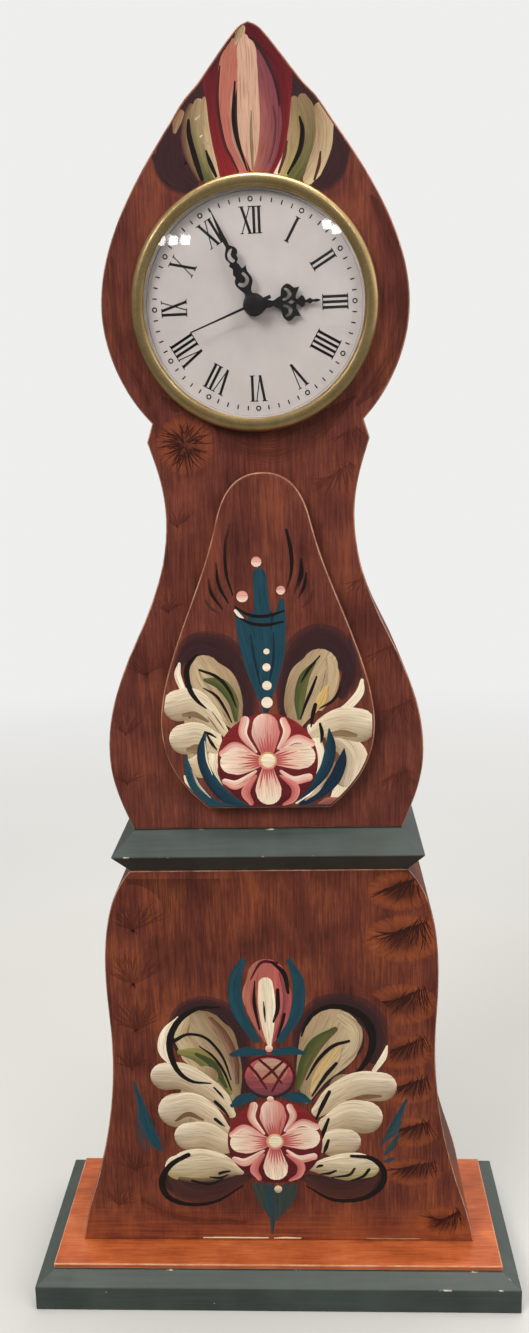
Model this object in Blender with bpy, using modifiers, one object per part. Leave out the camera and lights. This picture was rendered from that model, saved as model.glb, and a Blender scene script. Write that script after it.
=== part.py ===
"""Small painted case clock for a table, with a round battery-driven clock insert.

Lengths are metres. +X is right, +Y is back, +Z is up, and the origin is the middle of the
plinth's underside. The insert's pieces hang from an empty on the dial's axis: in its frame
+X is right, +Y is up, +Z points out of the dial, and zero is the wood's front face.
"""

import math

import bmesh
import bpy
from mathutils import Matrix, Vector

MM = 0.001

# Clearances
GLUE_GAP = 0.2 * MM
CLEAR = 0.3 * MM
RUN_CLEAR = 0.15 * MM

# Plinth and step board
PLINTH_W = 158.0 * MM
PLINTH_D = 66.4 * MM
PLINTH_EDGE_H = 8.3 * MM
PLINTH_H = 11.0 * MM
PLINTH_CHAMFER = 5.3 * MM
STEP_T = 1.7 * MM

# Wooden case: depth, place on the step board, and softened edges
CASE_D = 41.0 * MM
CASE_SETBACK = 3.3 * MM
EDGE_ROUND = 0.7 * MM

# Lower case: half widths and heights above its own foot
LOWER_H = 132.6 * MM
LOWER_FOOT_HALF = 65.8 * MM
LOWER_WAIST_HALF = 52.6 * MM
LOWER_WAIST_Z = 71.0 * MM
LOWER_BULGE_HALF = 53.5 * MM
LOWER_BULGE_Z = 96.0 * MM
LOWER_TOP_HALF = 43.9 * MM

# Waist moulding
MOULDING_H = 13.4 * MM
MOULDING_NOSE = 6.6 * MM

# Upper case: half widths and heights above its own foot
UPPER_H = 229.9 * MM
UPPER_FOOT_HALF = 41.9 * MM
BELLY_HALF = 48.3 * MM
BELLY_Z = 24.6 * MM
WAIST_HALF = 27.8 * MM
WAIST_Z = 96.1 * MM
SHOULDER_HALF = 32.4 * MM
SHOULDER_Z = 118.6 * MM
NOTCH_HALF = 30.7 * MM
NOTCH_Z = 123.9 * MM
HOOD_HALF = 43.9 * MM
DIAL_Z = 155.9 * MM
OGEE_HALF = 18.0 * MM
OGEE_Z = 210.9 * MM

# Door panel on the upper case's front: heights above the upper case's foot
DOOR_T = 4.0 * MM
DOOR_ROUND = 0.9 * MM
DOOR_SHIFT = 1.0 * MM
DOOR_FOOT_HALF = 18.7 * MM
DOOR_FOOT_Z = 7.9 * MM
DOOR_BELLY_HALF = 32.4 * MM
DOOR_BELLY_Z = 34.6 * MM
DOOR_NECK_HALF = 14.4 * MM
DOOR_NECK_Z = 93.6 * MM
DOOR_TOP_Z = 109.6 * MM

# Dowels through the moulding, and screws up through the plinth
DOWEL_R = 4.0 * MM
DOWEL_X = 24.0 * MM
DOWEL_SINK = 22.0 * MM
SCREW_X = 36.0 * MM
SCREW_R = 2.2 * MM
SCREW_HEAD_R = 4.4 * MM
SCREW_HEAD_T = 2.6 * MM
SCREW_L = 38.0 * MM

# Insert: bezel, crystal and dial
BEZEL_R = 35.0 * MM
BEZEL_FRONT = 4.4 * MM
BEZEL_EDGE = 1.3 * MM
BEZEL_SIGHT_R = 31.5 * MM
BEZEL_BROW = 0.6
BEZEL_FALL = 0.25
BEZEL_WALL = 0.6 * MM
BEZEL_LIP_T = 0.8 * MM
BEZEL_LIP_HOLD = 0.7 * MM
CRYSTAL_T = 1.1 * MM
CRYSTAL_WALL_H = 2.0 * MM
CRYSTAL_DOME_H = 5.2 * MM
DIAL_FACE = 1.0 * MM
DIAL_T = 0.5 * MM

# Insert: drum, its grip ring and its back cover
DRUM_FLANGE_W = 1.2 * MM
DRUM_FLANGE_T = 1.9 * MM
DRUM_FLOOR_T = 1.8 * MM
DRUM_WALL = 1.6 * MM
GRIP_RING_DEPTH = 6.0 * MM
GRIP_RING_W = 4.0 * MM
GRIP_RING_SHOULDER = 0.45
COVER_T = 1.7 * MM
COVER_SPIGOT_H = 1.4 * MM
COVER_SPIGOT_T = 1.5 * MM

# Wheel train: wheels lie in layers behind the drum's floor
WHEEL_T = 0.8 * MM
PINION_OVER = 0.2 * MM
LAYER_STEP = 1.6 * MM
ARBOR_R = 0.4 * MM
PIVOT_SINK = 0.8 * MM
MOTION_MODULE = 0.53 * MM
CENTRE_MODULE = 0.40 * MM
SECOND_MODULE = 0.53 * MM
ROTOR_MODULE = 0.40 * MM
HOUR_TEETH = 24
MINUTE_PINION_TEETH = 6
MINUTE_TEETH = 24
CANNON_TEETH = 8
SET_TEETH = 10
CENTRE_TEETH = 48
THIRD_PINION_TEETH = 6
THIRD_TEETH = 45
SECOND_PINION_TEETH = 6
SECOND_TEETH = 36
INTER_PINION_TEETH = 6
INTER_TEETH = 30
ROTOR_PINION_TEETH = 6
ADDENDUM = 0.7
DEDENDUM = 1.15
TOOTH_TIP = 0.055
THIRD_DIR = 50.0
INTER_DIR = 140.0
ROTOR_DIR = 75.0
SET_DIR = 195.0
SET_DISTANCE = 12.0 * MM

# Coaxial pipes of the three hands, and the hands themselves
CANNON_WALL = 0.55 * MM
HOUR_PIPE_WALL = 0.6 * MM
HAND_T = 0.4 * MM
HOUR_HAND_H = 1.1 * MM
HAND_STEP = 1.2 * MM
HOUR_HAND_L = 18.8 * MM
MINUTE_HAND_L = 28.9 * MM
SECOND_HAND_L = 19.3 * MM
SECOND_TAIL_L = 5.1 * MM
SECOND_CAP_R = 2.95 * MM
SECOND_CAP_H = 1.3 * MM
SECOND_NEEDLE_HALF = 0.35 * MM
SECOND_TAIL_HALF = 0.5 * MM
HOUR_REST = 87.5
MINUTE_REST = 335.5
SECOND_REST = 248.0

# Stepping motor, circuit and rear plate
MAGNET_R = 2.6 * MM
MAGNET_T = 2.0 * MM
STATOR_T = 1.2 * MM
STATOR_GAP = 0.5 * MM
STATOR_ARM = 3.0 * MM
STATOR_W = 18.0 * MM
STATOR_BRIDGE = 8.0 * MM
STATOR_ARM_L = 6.2 * MM
CORE_T = 1.0 * MM
CORE_H = 2.4 * MM
COIL_R = 2.3 * MM
COIL_FLANGE_T = 0.8 * MM
COIL_FLANGE_OVER = 0.4 * MM
REAR_PLATE_T = 1.2 * MM
POST_R = 2.0 * MM
POST_RING_R = 26.3 * MM
POST_DIRS = (30.0, 150.0, 195.0, 345.0)
PLATE_SCREW_R = 0.8 * MM
PLATE_SCREW_L = 4.0 * MM
PLATE_SCREW_HEAD_R = 1.7 * MM
PLATE_SCREW_HEAD_T = 0.9 * MM
PLATE_SCREW_CROWN_R = 1.4 * MM
BOARD_W = 11.0 * MM
BOARD_H = 13.0 * MM
BOARD_T = 1.0 * MM
BOARD_X = 17.0 * MM
BOARD_Y = -2.0 * MM
QUARTZ_R = 1.5 * MM
QUARTZ_L = 8.0 * MM
CHIP_R = 2.0 * MM
CHIP_H = 1.0 * MM

# Battery, its tray and contacts
CELL_R = 6.0 * MM
CELL_L = 29.2 * MM
CELL_NUB_R = 2.0 * MM
CELL_NUB_H = 1.0 * MM
CELL_Y = -17.3 * MM
TRAY_WALL = 0.6 * MM
CONTACT_ROOM = 2.0 * MM
CONTACT_T = 0.4 * MM
CONTACT_H = 7.0 * MM
CONTACT_HALF = 4.8 * MM
CONTACT_STEPS = 8

# Set knob on the insert's back
KNOB_R = 5.0 * MM
KNOB_H = 5.5 * MM
KNOB_FLUTES = 16
KNOB_FLUTE_DEPTH = 0.35 * MM
SET_ARBOR_R = 0.8 * MM

# Facets: round the insert, round middling pieces and round small pins, and along curved outlines
ROUND_STEPS = 40
MID_STEPS = 20
PIN_STEPS = 10
OUTLINE_STEPS = 6
HAND_OUTLINE_STEPS = 2
DOME_RINGS = 5
SMALL_DOME_RINGS = 3
WELD = 0.001 * MM

# Derived places in the case
STEP_BASE = PLINTH_H + GLUE_GAP
LOWER_BASE = STEP_BASE + STEP_T + GLUE_GAP
MOULDING_BASE = LOWER_BASE + LOWER_H + GLUE_GAP
UPPER_BASE = MOULDING_BASE + MOULDING_H + GLUE_GAP
CASE_BACK = PLINTH_D / 2 - PLINTH_CHAMFER - CASE_SETBACK
CASE_FRONT = CASE_BACK - CASE_D
CASE_MID = (CASE_FRONT + CASE_BACK) / 2

# Derived radii of the insert, from the sight opening outwards
SEAT_R = BEZEL_SIGHT_R + BEZEL_LIP_HOLD
RECESS_R = SEAT_R + CLEAR
SKIRT_R = RECESS_R + BEZEL_WALL
BORE_R = SKIRT_R + CLEAR
DRUM_R = SEAT_R - DRUM_FLANGE_W
DRUM_INNER_R = DRUM_R - DRUM_WALL
CANNON_BORE_R = ARBOR_R + RUN_CLEAR
CANNON_R = CANNON_BORE_R + CANNON_WALL
HOUR_BORE_R = CANNON_R + RUN_CLEAR
HOUR_PIPE_R = HOUR_BORE_R + HOUR_PIPE_WALL

# Derived places along the dial's axis
DRUM_FRONT = DIAL_FACE - DIAL_T - CLEAR
DRUM_FLOOR = DRUM_FRONT - DRUM_FLOOR_T
FLANGE_BACK = DRUM_FRONT - DRUM_FLANGE_T
HOUR_HAND_Z = DIAL_FACE + HOUR_HAND_H
MINUTE_HAND_Z = HOUR_HAND_Z + HAND_STEP
SECOND_HAND_Z = MINUTE_HAND_Z + HAND_STEP
HOUR_LAYER, MOTION_LAYER, CENTRE_LAYER, THIRD_LAYER, SECOND_LAYER, INTER_LAYER, MAGNET_LAYER = (
    DRUM_FLOOR - CLEAR - level * LAYER_STEP for level in range(7))
MAGNET_BACK = MAGNET_LAYER - MAGNET_T
REAR_PLATE_FRONT = MAGNET_BACK - 2 * CLEAR
REAR_PLATE_BACK = REAR_PLATE_FRONT - REAR_PLATE_T
TRAY_FLOOR_FRONT = MOTION_LAYER - WHEEL_T - CLEAR
CELL_Z = TRAY_FLOOR_FRONT - TRAY_WALL - CLEAR - CELL_R
DRUM_BACK = min(REAR_PLATE_BACK - PLATE_SCREW_HEAD_T - 2 * CLEAR - COVER_SPIGOT_H, CELL_Z - CELL_R)
COVER_FRONT = DRUM_BACK - CLEAR
COVER_BACK = COVER_FRONT - COVER_T
TRAY_HALF = CELL_L / 2 + CELL_NUB_H + CONTACT_ROOM
TRAY_TOP = CELL_Y + CELL_R + CLEAR + TRAY_WALL
STATOR_FRONT = MAGNET_LAYER - (MAGNET_T - STATOR_T) / 2


def polar(distance, degrees):
    """A point at a distance and direction from the dial's centre."""
    return Vector((distance * math.cos(math.radians(degrees)), distance * math.sin(math.radians(degrees))))


def centre_distance(teeth_a, teeth_b, module):
    return (teeth_a + teeth_b) * module / 2


# Derived places of the arbors
MOTION_DISTANCE = centre_distance(HOUR_TEETH, MINUTE_PINION_TEETH, MOTION_MODULE)
CANNON_MODULE = 2 * MOTION_DISTANCE / (MINUTE_TEETH + CANNON_TEETH)
SET_MESH_DISTANCE = centre_distance(MINUTE_TEETH, SET_TEETH, CANNON_MODULE)
SET_TO_MINUTE = math.degrees(math.acos(
    (MOTION_DISTANCE ** 2 + SET_DISTANCE ** 2 - SET_MESH_DISTANCE ** 2)
    / (2 * MOTION_DISTANCE * SET_DISTANCE)))
THIRD_DISTANCE = centre_distance(CENTRE_TEETH, THIRD_PINION_TEETH, CENTRE_MODULE)
THIRD_MODULE = 2 * THIRD_DISTANCE / (THIRD_TEETH + SECOND_PINION_TEETH)
INTER_DISTANCE = centre_distance(SECOND_TEETH, INTER_PINION_TEETH, SECOND_MODULE)
ROTOR_DISTANCE = centre_distance(INTER_TEETH, ROTOR_PINION_TEETH, ROTOR_MODULE)
CENTRE = Vector((0.0, 0.0))
SET_SPOT = polar(SET_DISTANCE, SET_DIR)
MINUTE_SPOT = polar(MOTION_DISTANCE, SET_DIR + SET_TO_MINUTE)
THIRD_SPOT = polar(THIRD_DISTANCE, THIRD_DIR)
INTER_SPOT = polar(INTER_DISTANCE, INTER_DIR)
ROTOR_SPOT = INTER_SPOT + polar(ROTOR_DISTANCE, ROTOR_DIR)
STATOR_FOOT = ROTOR_SPOT.y - STATOR_BRIDGE / 2
STATOR_TOP = STATOR_FOOT + STATOR_BRIDGE + STATOR_ARM_L
CORE_Y = STATOR_TOP - CORE_H / 2
CORE_BACK = STATOR_FRONT + CLEAR


def start_scene():
    """Empty the scene and make one collection for the parts and one for the cutters."""
    for old in list(bpy.data.objects):
        bpy.data.objects.remove(old, do_unlink=True)
    made = []
    for name in ("mora_table_clock", "cutters"):
        group = bpy.data.collections.new(name)
        bpy.context.scene.collection.children.link(group)
        made.append(group)
    return made


PARTS, CUTTERS = start_scene()


def paint(name, colour, roughness, metallic=0.0):
    material = bpy.data.materials.new(name)
    material.use_nodes = True
    shader = material.node_tree.nodes["Principled BSDF"]
    shader.inputs["Base Color"].default_value = (*colour, 1.0)
    shader.inputs["Roughness"].default_value = roughness
    shader.inputs["Metallic"].default_value = metallic
    return material


GREEN_PAINT = paint("green_paint", (0.07, 0.085, 0.08), 0.5)
RED_GLAZE = paint("red_glaze", (0.14, 0.03, 0.018), 0.35)
STEP_GLAZE = paint("step_glaze", (0.35, 0.09, 0.03), 0.35)
BARE_WOOD = paint("bare_wood", (0.60, 0.42, 0.24), 0.7)
STEEL = paint("steel", (0.55, 0.55, 0.56), 0.35, 1.0)
BRASS = paint("brass", (0.55, 0.42, 0.16), 0.3, 1.0)
CLEAR_LENS = paint("clear_lens", (0.9, 0.92, 0.93), 0.05)
DIAL_WHITE = paint("dial_white", (0.80, 0.78, 0.77), 0.5)
BLACK_PLASTIC = paint("black_plastic", (0.02, 0.02, 0.022), 0.5)
WHITE_PLASTIC = paint("white_plastic", (0.78, 0.77, 0.72), 0.45)
BLACK_METAL = paint("black_metal", (0.01, 0.01, 0.011), 0.3, 0.4)
RUBBER = paint("rubber", (0.03, 0.03, 0.03), 0.8)
COPPER = paint("copper", (0.55, 0.20, 0.09), 0.4, 1.0)
BOARD_GREEN = paint("board_green", (0.03, 0.20, 0.08), 0.5)
CELL_JACKET = paint("cell_jacket", (0.10, 0.12, 0.16), 0.35, 0.3)

INSERT = bpy.data.objects.new("insert_axis", None)
INSERT.location = (0.0, CASE_FRONT, UPPER_BASE + DIAL_Z)
INSERT.rotation_euler = (math.pi / 2, 0.0, 0.0)
PARTS.objects.link(INSERT)


def place(shape, name, material=None, location=(0, 0, 0), turn=0.0, parent=None):
    """Name a shape, give it its material and put it among the parts."""
    shape.name = name
    shape.data.name = name
    shape.location = location
    shape.rotation_euler.z += turn
    shape.parent = parent
    if material:
        shape.data.materials.clear()
        shape.data.materials.append(material)
    return shape


def new_object(name, data, group=PARTS):
    shape = bpy.data.objects.new(name, data)
    group.objects.link(shape)
    return shape


def as_mesh(source, group=PARTS):
    """Replace an object by one closed mesh of its evaluated shape, welded and facing out."""
    bpy.context.view_layer.update()
    graph = bpy.context.evaluated_depsgraph_get()
    mesh = bpy.data.meshes.new_from_object(source.evaluated_get(graph))
    work = bmesh.new()
    work.from_mesh(mesh)
    bmesh.ops.remove_doubles(work, verts=work.verts, dist=WELD)
    bmesh.ops.recalc_face_normals(work, faces=work.faces)
    work.to_mesh(mesh)
    work.free()
    made = new_object(source.name, mesh, group)
    made.matrix_world = source.matrix_world
    bpy.data.objects.remove(source, do_unlink=True)
    return made


def turned(name, profile, steps=ROUND_STEPS, group=PARTS):
    """A solid of revolution about +Z: the profile runs down its outer side, then back up inside."""
    closed = profile[0][0] > 0 or profile[-1][0] > 0
    count = len(profile)
    links = [(i, i + 1) for i in range(count - 1)]
    if closed:
        links.append((count - 1, 0))
    mesh = bpy.data.meshes.new(name)
    mesh.from_pydata([(radius, 0.0, height) for radius, height in profile], links, [])
    shape = new_object(name, mesh, group)
    screw = shape.modifiers.new("turn", "SCREW")
    screw.steps = steps
    screw.render_steps = steps
    screw.use_merge_vertices = True
    screw.merge_threshold = WELD
    return as_mesh(shape, group)


def pin(name, radius, low, high, steps=PIN_STEPS, group=PARTS):
    """A plain cylinder along +Z between two heights."""
    bpy.ops.mesh.primitive_cylinder_add(
        vertices=steps, radius=radius, depth=high - low, location=(0.0, 0.0, (low + high) / 2))
    shape = bpy.context.object
    shape.data.transform(shape.matrix_basis)
    shape.matrix_basis.identity()
    for holder in shape.users_collection:
        holder.objects.unlink(shape)
    group.objects.link(shape)
    shape.name = name
    return shape


def block(name, low, high, group=PARTS):
    """A box between two corners."""
    mesh = bpy.data.meshes.new(name)
    work = bmesh.new()
    bmesh.ops.create_cube(work, size=1.0)
    for vert in work.verts:
        vert.co = Vector([low[i] + (vert.co[i] + 0.5) * (high[i] - low[i]) for i in range(3)])
    work.to_mesh(mesh)
    work.free()
    return new_object(name, mesh, group)


def prism(name, outlines, low, high, group=PARTS):
    """A flat plate along +Z from straight-sided outlines: the first is outside, the rest are holes."""
    curve = bpy.data.curves.new(name, "CURVE")
    curve.dimensions = "2D"
    curve.fill_mode = "BOTH"
    curve.extrude = (high - low) / 2
    for outline in outlines:
        spline = curve.splines.new("POLY")
        spline.points.add(len(outline) - 1)
        for point, spot in zip(spline.points, outline):
            point.co = (spot[0], spot[1], 0.0, 1.0)
        spline.use_cyclic_u = True
    shape = new_object(name, curve, group)
    shape.location.z = (low + high) / 2
    made = as_mesh(shape, group)
    made.data.transform(made.matrix_basis)
    made.matrix_basis.identity()
    return made


def smooth_plate(name, outlines, thickness, resolution, edge=0.0):
    """A flat plate from outlines of (place, back handle, forward handle), with softened edges."""
    curve = bpy.data.curves.new(name, "CURVE")
    curve.dimensions = "2D"
    curve.fill_mode = "BOTH"
    curve.extrude = thickness / 2 - edge
    curve.bevel_depth = edge
    curve.offset = -edge
    curve.bevel_resolution = 0
    curve.resolution_u = resolution
    for outline in outlines:
        spline = curve.splines.new("BEZIER")
        spline.bezier_points.add(len(outline) - 1)
        for point, (spot, back, ahead) in zip(spline.bezier_points, outline):
            point.handle_left_type = "FREE" if back.length else "VECTOR"
            point.handle_right_type = "FREE" if ahead.length else "VECTOR"
            point.co = (*spot, 0.0)
            point.handle_left = (*(spot + back), 0.0)
            point.handle_right = (*(spot + ahead), 0.0)
        spline.use_cyclic_u = True
    return as_mesh(new_object(name, curve))


def fuse(pieces):
    """Join overlapping pieces into the first one as one body."""
    body = pieces[0]
    for piece in pieces[1:]:
        joint = body.modifiers.new("join", "BOOLEAN")
        joint.operation = "UNION"
        joint.object = piece
    made = as_mesh(body)
    for piece in pieces[1:]:
        bpy.data.objects.remove(piece, do_unlink=True)
    return made


def cut(body, cutter, parent=None):
    """Take a cutter's shape out of a body, and keep the cutter as a guide."""
    cutter.parent = parent
    cutter.name = body.name + "_cutter"
    cutter.hide_render = True
    cutter.display_type = "WIRE"
    joint = body.modifiers.new("cut", "BOOLEAN")
    joint.operation = "DIFFERENCE"
    joint.object = cutter


def ring_points(radius, steps, spot=CENTRE):
    return [spot + polar(radius, 360.0 * i / steps) for i in range(steps)]


def lofted_board(name, sections):
    """A board lofted through rectangles of (half width, front, back, height), bottom first."""
    mesh = bpy.data.meshes.new(name)
    work = bmesh.new()
    rings = []
    for half, front, back, height in sections:
        corners = ((-half, front), (half, front), (half, back), (-half, back))
        rings.append([work.verts.new((x, y, height)) for x, y in corners])
    work.faces.new(list(reversed(rings[0])))
    work.faces.new(rings[-1])
    for lower, upper in zip(rings[:-1], rings[1:]):
        for i in range(4):
            j = (i + 1) % 4
            work.faces.new((lower[i], lower[j], upper[j], upper[i]))
    work.to_mesh(mesh)
    work.free()
    return new_object(name, mesh)


def half_outline(nodes):
    """A closed outline, mirrored about x = 0, from nodes up its right side.

    Each node is (half width, height, arriving angle, leaving angle, leaving share, arriving
    share of the next node), where a share is a handle's length over the length of its stretch.
    """
    spots = [Vector((node[0], node[1])) for node in nodes]
    handles = []
    for i, node in enumerate(nodes):
        back = Vector((0.0, 0.0))
        ahead = Vector((0.0, 0.0))
        if i > 0:
            span = (spots[i] - spots[i - 1]).length
            back = -polar(span * nodes[i - 1][5], node[2])
        if i < len(nodes) - 1:
            span = (spots[i + 1] - spots[i]).length
            ahead = polar(span * node[4], node[3])
        handles.append((spots[i], back, ahead))
    on_axis = nodes[-1][0] == 0
    flip = Vector((-1.0, 1.0))
    mirrored = [(s * flip, a * flip, b * flip) for s, b, a in handles]
    if on_axis:
        tip, back, _ = handles[-1]
        handles[-1] = (tip, back, back * flip)
        mirrored = mirrored[:-1]
    return handles + list(reversed(mirrored))


def stand_up(shape, name, material, front):
    """Stand a flat plate upright with its front face at a given place along Y."""
    low = min(corner[2] for corner in shape.bound_box)
    high = max(corner[2] for corner in shape.bound_box)
    shape.rotation_euler.x = math.pi / 2
    return place(shape, name, material, (0.0, front + (high - low) / 2, 0.0))


def make_plinth():
    half = PLINTH_W / 2
    deep = PLINTH_D / 2
    inset = PLINTH_CHAMFER
    board = lofted_board("plinth", [
        (half, -deep, deep, 0.0),
        (half, -deep, deep, PLINTH_EDGE_H),
        (half - inset, inset - deep, deep - inset, PLINTH_H)])
    place(board, "plinth", GREEN_PAINT)
    step = lofted_board("plinth_step_board", [
        (half - inset, inset - deep, deep - inset, STEP_BASE),
        (half - inset, inset - deep, deep - inset, STEP_BASE + STEP_T)])
    place(step, "plinth_step_board", STEP_GLAZE)
    return board, step


def make_lower_case():
    outline = half_outline([
        (LOWER_FOOT_HALF, 0.0, 90, 92, 0.14, 0.50),
        (LOWER_WAIST_HALF, LOWER_WAIST_Z, 90, 90, 0.36, 0.36),
        (LOWER_BULGE_HALF, LOWER_BULGE_Z, 90, 90, 0.50, 0.24),
        (LOWER_TOP_HALF, LOWER_H, 132, 90, 0.0, 0.0)])
    case = stand_up(smooth_plate("lower_case", [outline], CASE_D, OUTLINE_STEPS, EDGE_ROUND),
                    "lower_case", RED_GLAZE, CASE_FRONT)
    case.location.z = LOWER_BASE
    return case


def make_moulding():
    top = MOULDING_BASE + MOULDING_H
    board = lofted_board("waist_moulding", [
        (LOWER_TOP_HALF, CASE_FRONT, CASE_BACK, MOULDING_BASE),
        (UPPER_FOOT_HALF + MOULDING_NOSE, CASE_FRONT - MOULDING_NOSE, CASE_BACK,
         MOULDING_BASE + MOULDING_H / 2),
        (UPPER_FOOT_HALF, CASE_FRONT, CASE_BACK, top)])
    return place(board, "waist_moulding", GREEN_PAINT)


def make_upper_case():
    outline = half_outline([
        (UPPER_FOOT_HALF, 0.0, 90, 68, 0.36, 0.36),
        (BELLY_HALF, BELLY_Z, 90, 90, 0.38, 0.38),
        (WAIST_HALF, WAIST_Z, 90, 90, 0.40, 0.30),
        (SHOULDER_HALF, SHOULDER_Z, 72, 108, 0.0, 0.0),
        (NOTCH_HALF, NOTCH_Z, 108, 46, 0.30, 0.36),
        (HOOD_HALF, DIAL_Z, 90, 90, 0.36, 0.24),
        (OGEE_HALF, OGEE_Z, 125, 138, 0.34, 0.15),
        (0.0, UPPER_H, 180, 180, 0.0, 0.0)])
    case = stand_up(smooth_plate("upper_case", [outline], CASE_D, OUTLINE_STEPS, EDGE_ROUND),
                    "upper_case", RED_GLAZE, CASE_FRONT)
    case.location.z = UPPER_BASE
    reach = CASE_D + DOOR_T
    cut(case, pin("bore", BORE_R, -reach, DOOR_T, ROUND_STEPS, CUTTERS), INSERT)
    return case


def make_door_panel():
    outline = half_outline([
        (DOOR_FOOT_HALF, DOOR_FOOT_Z, 90, 41, 0.34, 0.42),
        (DOOR_BELLY_HALF, DOOR_BELLY_Z, 90, 90, 0.28, 0.28),
        (DOOR_NECK_HALF, DOOR_NECK_Z, 103, 103, 0.36, 0.46),
        (0.0, DOOR_TOP_Z, 180, 180, 0.0, 0.0)])
    panel = stand_up(smooth_plate("door_panel", [outline], DOOR_T, OUTLINE_STEPS, DOOR_ROUND),
                     "door_panel", RED_GLAZE, CASE_FRONT - GLUE_GAP - DOOR_T)
    panel.location.x = DOOR_SHIFT
    panel.location.z = UPPER_BASE
    return panel


def make_dowels(lower, moulding, upper):
    bottom = MOULDING_BASE - DOWEL_SINK
    top = UPPER_BASE + DOWEL_SINK
    for side, name in ((-1, "dowel_left"), (1, "dowel_right")):
        spot = Vector((side * DOWEL_X, CASE_MID, 0.0))
        place(pin(name, DOWEL_R, bottom, top), name, BARE_WOOD, spot)
        for body in (lower, moulding, upper):
            hole = pin("hole", DOWEL_R + CLEAR, bottom - CLEAR, top + CLEAR, PIN_STEPS, CUTTERS)
            hole.location = spot
            cut(body, hole)


def wood_screw_profile(grow=0.0, drop=0.0):
    """Head, shank and point of a countersunk wood screw driven upwards, tip first."""
    tip = SCREW_L + grow
    neck = SCREW_R + grow
    return [(0.0, tip), (neck, tip - 2 * SCREW_R), (neck, SCREW_HEAD_T + grow),
            (SCREW_HEAD_R + grow, grow), (SCREW_HEAD_R + grow, -drop), (0.0, -drop)]


def make_plinth_screws(bodies):
    for side, name in ((-1, "plinth_screw_left"), (1, "plinth_screw_right")):
        spot = Vector((side * SCREW_X, CASE_MID, CLEAR))
        place(turned(name, wood_screw_profile(), PIN_STEPS), name, STEEL, spot)
        for body in bodies:
            hole = turned("hole", wood_screw_profile(CLEAR, 2 * CLEAR), PIN_STEPS, CUTTERS)
            hole.location = spot
            cut(body, hole)


def make_bezel():
    lip_back = DIAL_FACE + CLEAR + CRYSTAL_T + CLEAR
    lip_front = lip_back + BEZEL_LIP_T
    crimp_front = FLANGE_BACK - CLEAR
    crimp_back = crimp_front - BEZEL_WALL
    crown = BEZEL_R - (BEZEL_R - BEZEL_SIGHT_R) / 2
    brow = crown + (BEZEL_R - crown) * BEZEL_BROW
    brow_front = BEZEL_FRONT - (BEZEL_FRONT - BEZEL_EDGE) * BEZEL_FALL
    profile = [
        (crown, BEZEL_FRONT), (brow, brow_front), (BEZEL_R, BEZEL_EDGE),
        (BEZEL_R, CLEAR), (SKIRT_R, CLEAR), (SKIRT_R, crimp_back), (DRUM_R + 2 * CLEAR, crimp_back),
        (DRUM_R + 2 * CLEAR, crimp_front),        (RECESS_R, crimp_front), (RECESS_R, lip_back),
        (BEZEL_SIGHT_R, lip_back), (BEZEL_SIGHT_R, lip_front)]
    place(turned("bezel", profile), "bezel", BRASS, parent=INSERT)


def dome_arc(radius, rim_height, apex, rings):
    """Points of a shallow dome from its apex down to its rim."""
    rise = apex - rim_height
    ball = (radius ** 2 + rise ** 2) / (2 * rise)
    reach = math.asin(radius / ball)
    return [(ball * math.sin(reach * i / rings), apex - ball * (1 - math.cos(reach * i / rings)))
            for i in range(rings + 1)]


def make_crystal():
    back = DIAL_FACE + CLEAR
    wall_r = BEZEL_SIGHT_R - CLEAR
    shoulder = back + CRYSTAL_T + CRYSTAL_WALL_H
    apex = shoulder + CRYSTAL_DOME_H
    inner_r = wall_r - CRYSTAL_T
    outer = dome_arc(wall_r, shoulder, apex, DOME_RINGS)
    inner = dome_arc(inner_r, shoulder - CRYSTAL_T / 2, apex - CRYSTAL_T, DOME_RINGS - 1)
    rim = [(wall_r, back + CRYSTAL_T), (SEAT_R, back + CRYSTAL_T), (SEAT_R, back), (inner_r, back)]
    profile = outer + rim + list(reversed(inner))
    place(turned("crystal", profile), "crystal", CLEAR_LENS, parent=INSERT)


def make_dial():
    hole = HOUR_PIPE_R + 2 * CLEAR
    profile = [(SEAT_R, DIAL_FACE), (SEAT_R, DIAL_FACE - DIAL_T), (hole, DIAL_FACE - DIAL_T),
               (hole, DIAL_FACE)]
    place(turned("dial", profile), "dial", DIAL_WHITE, parent=INSERT)


def post_spots():
    return [polar(POST_RING_R, direction) for direction in POST_DIRS]


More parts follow.
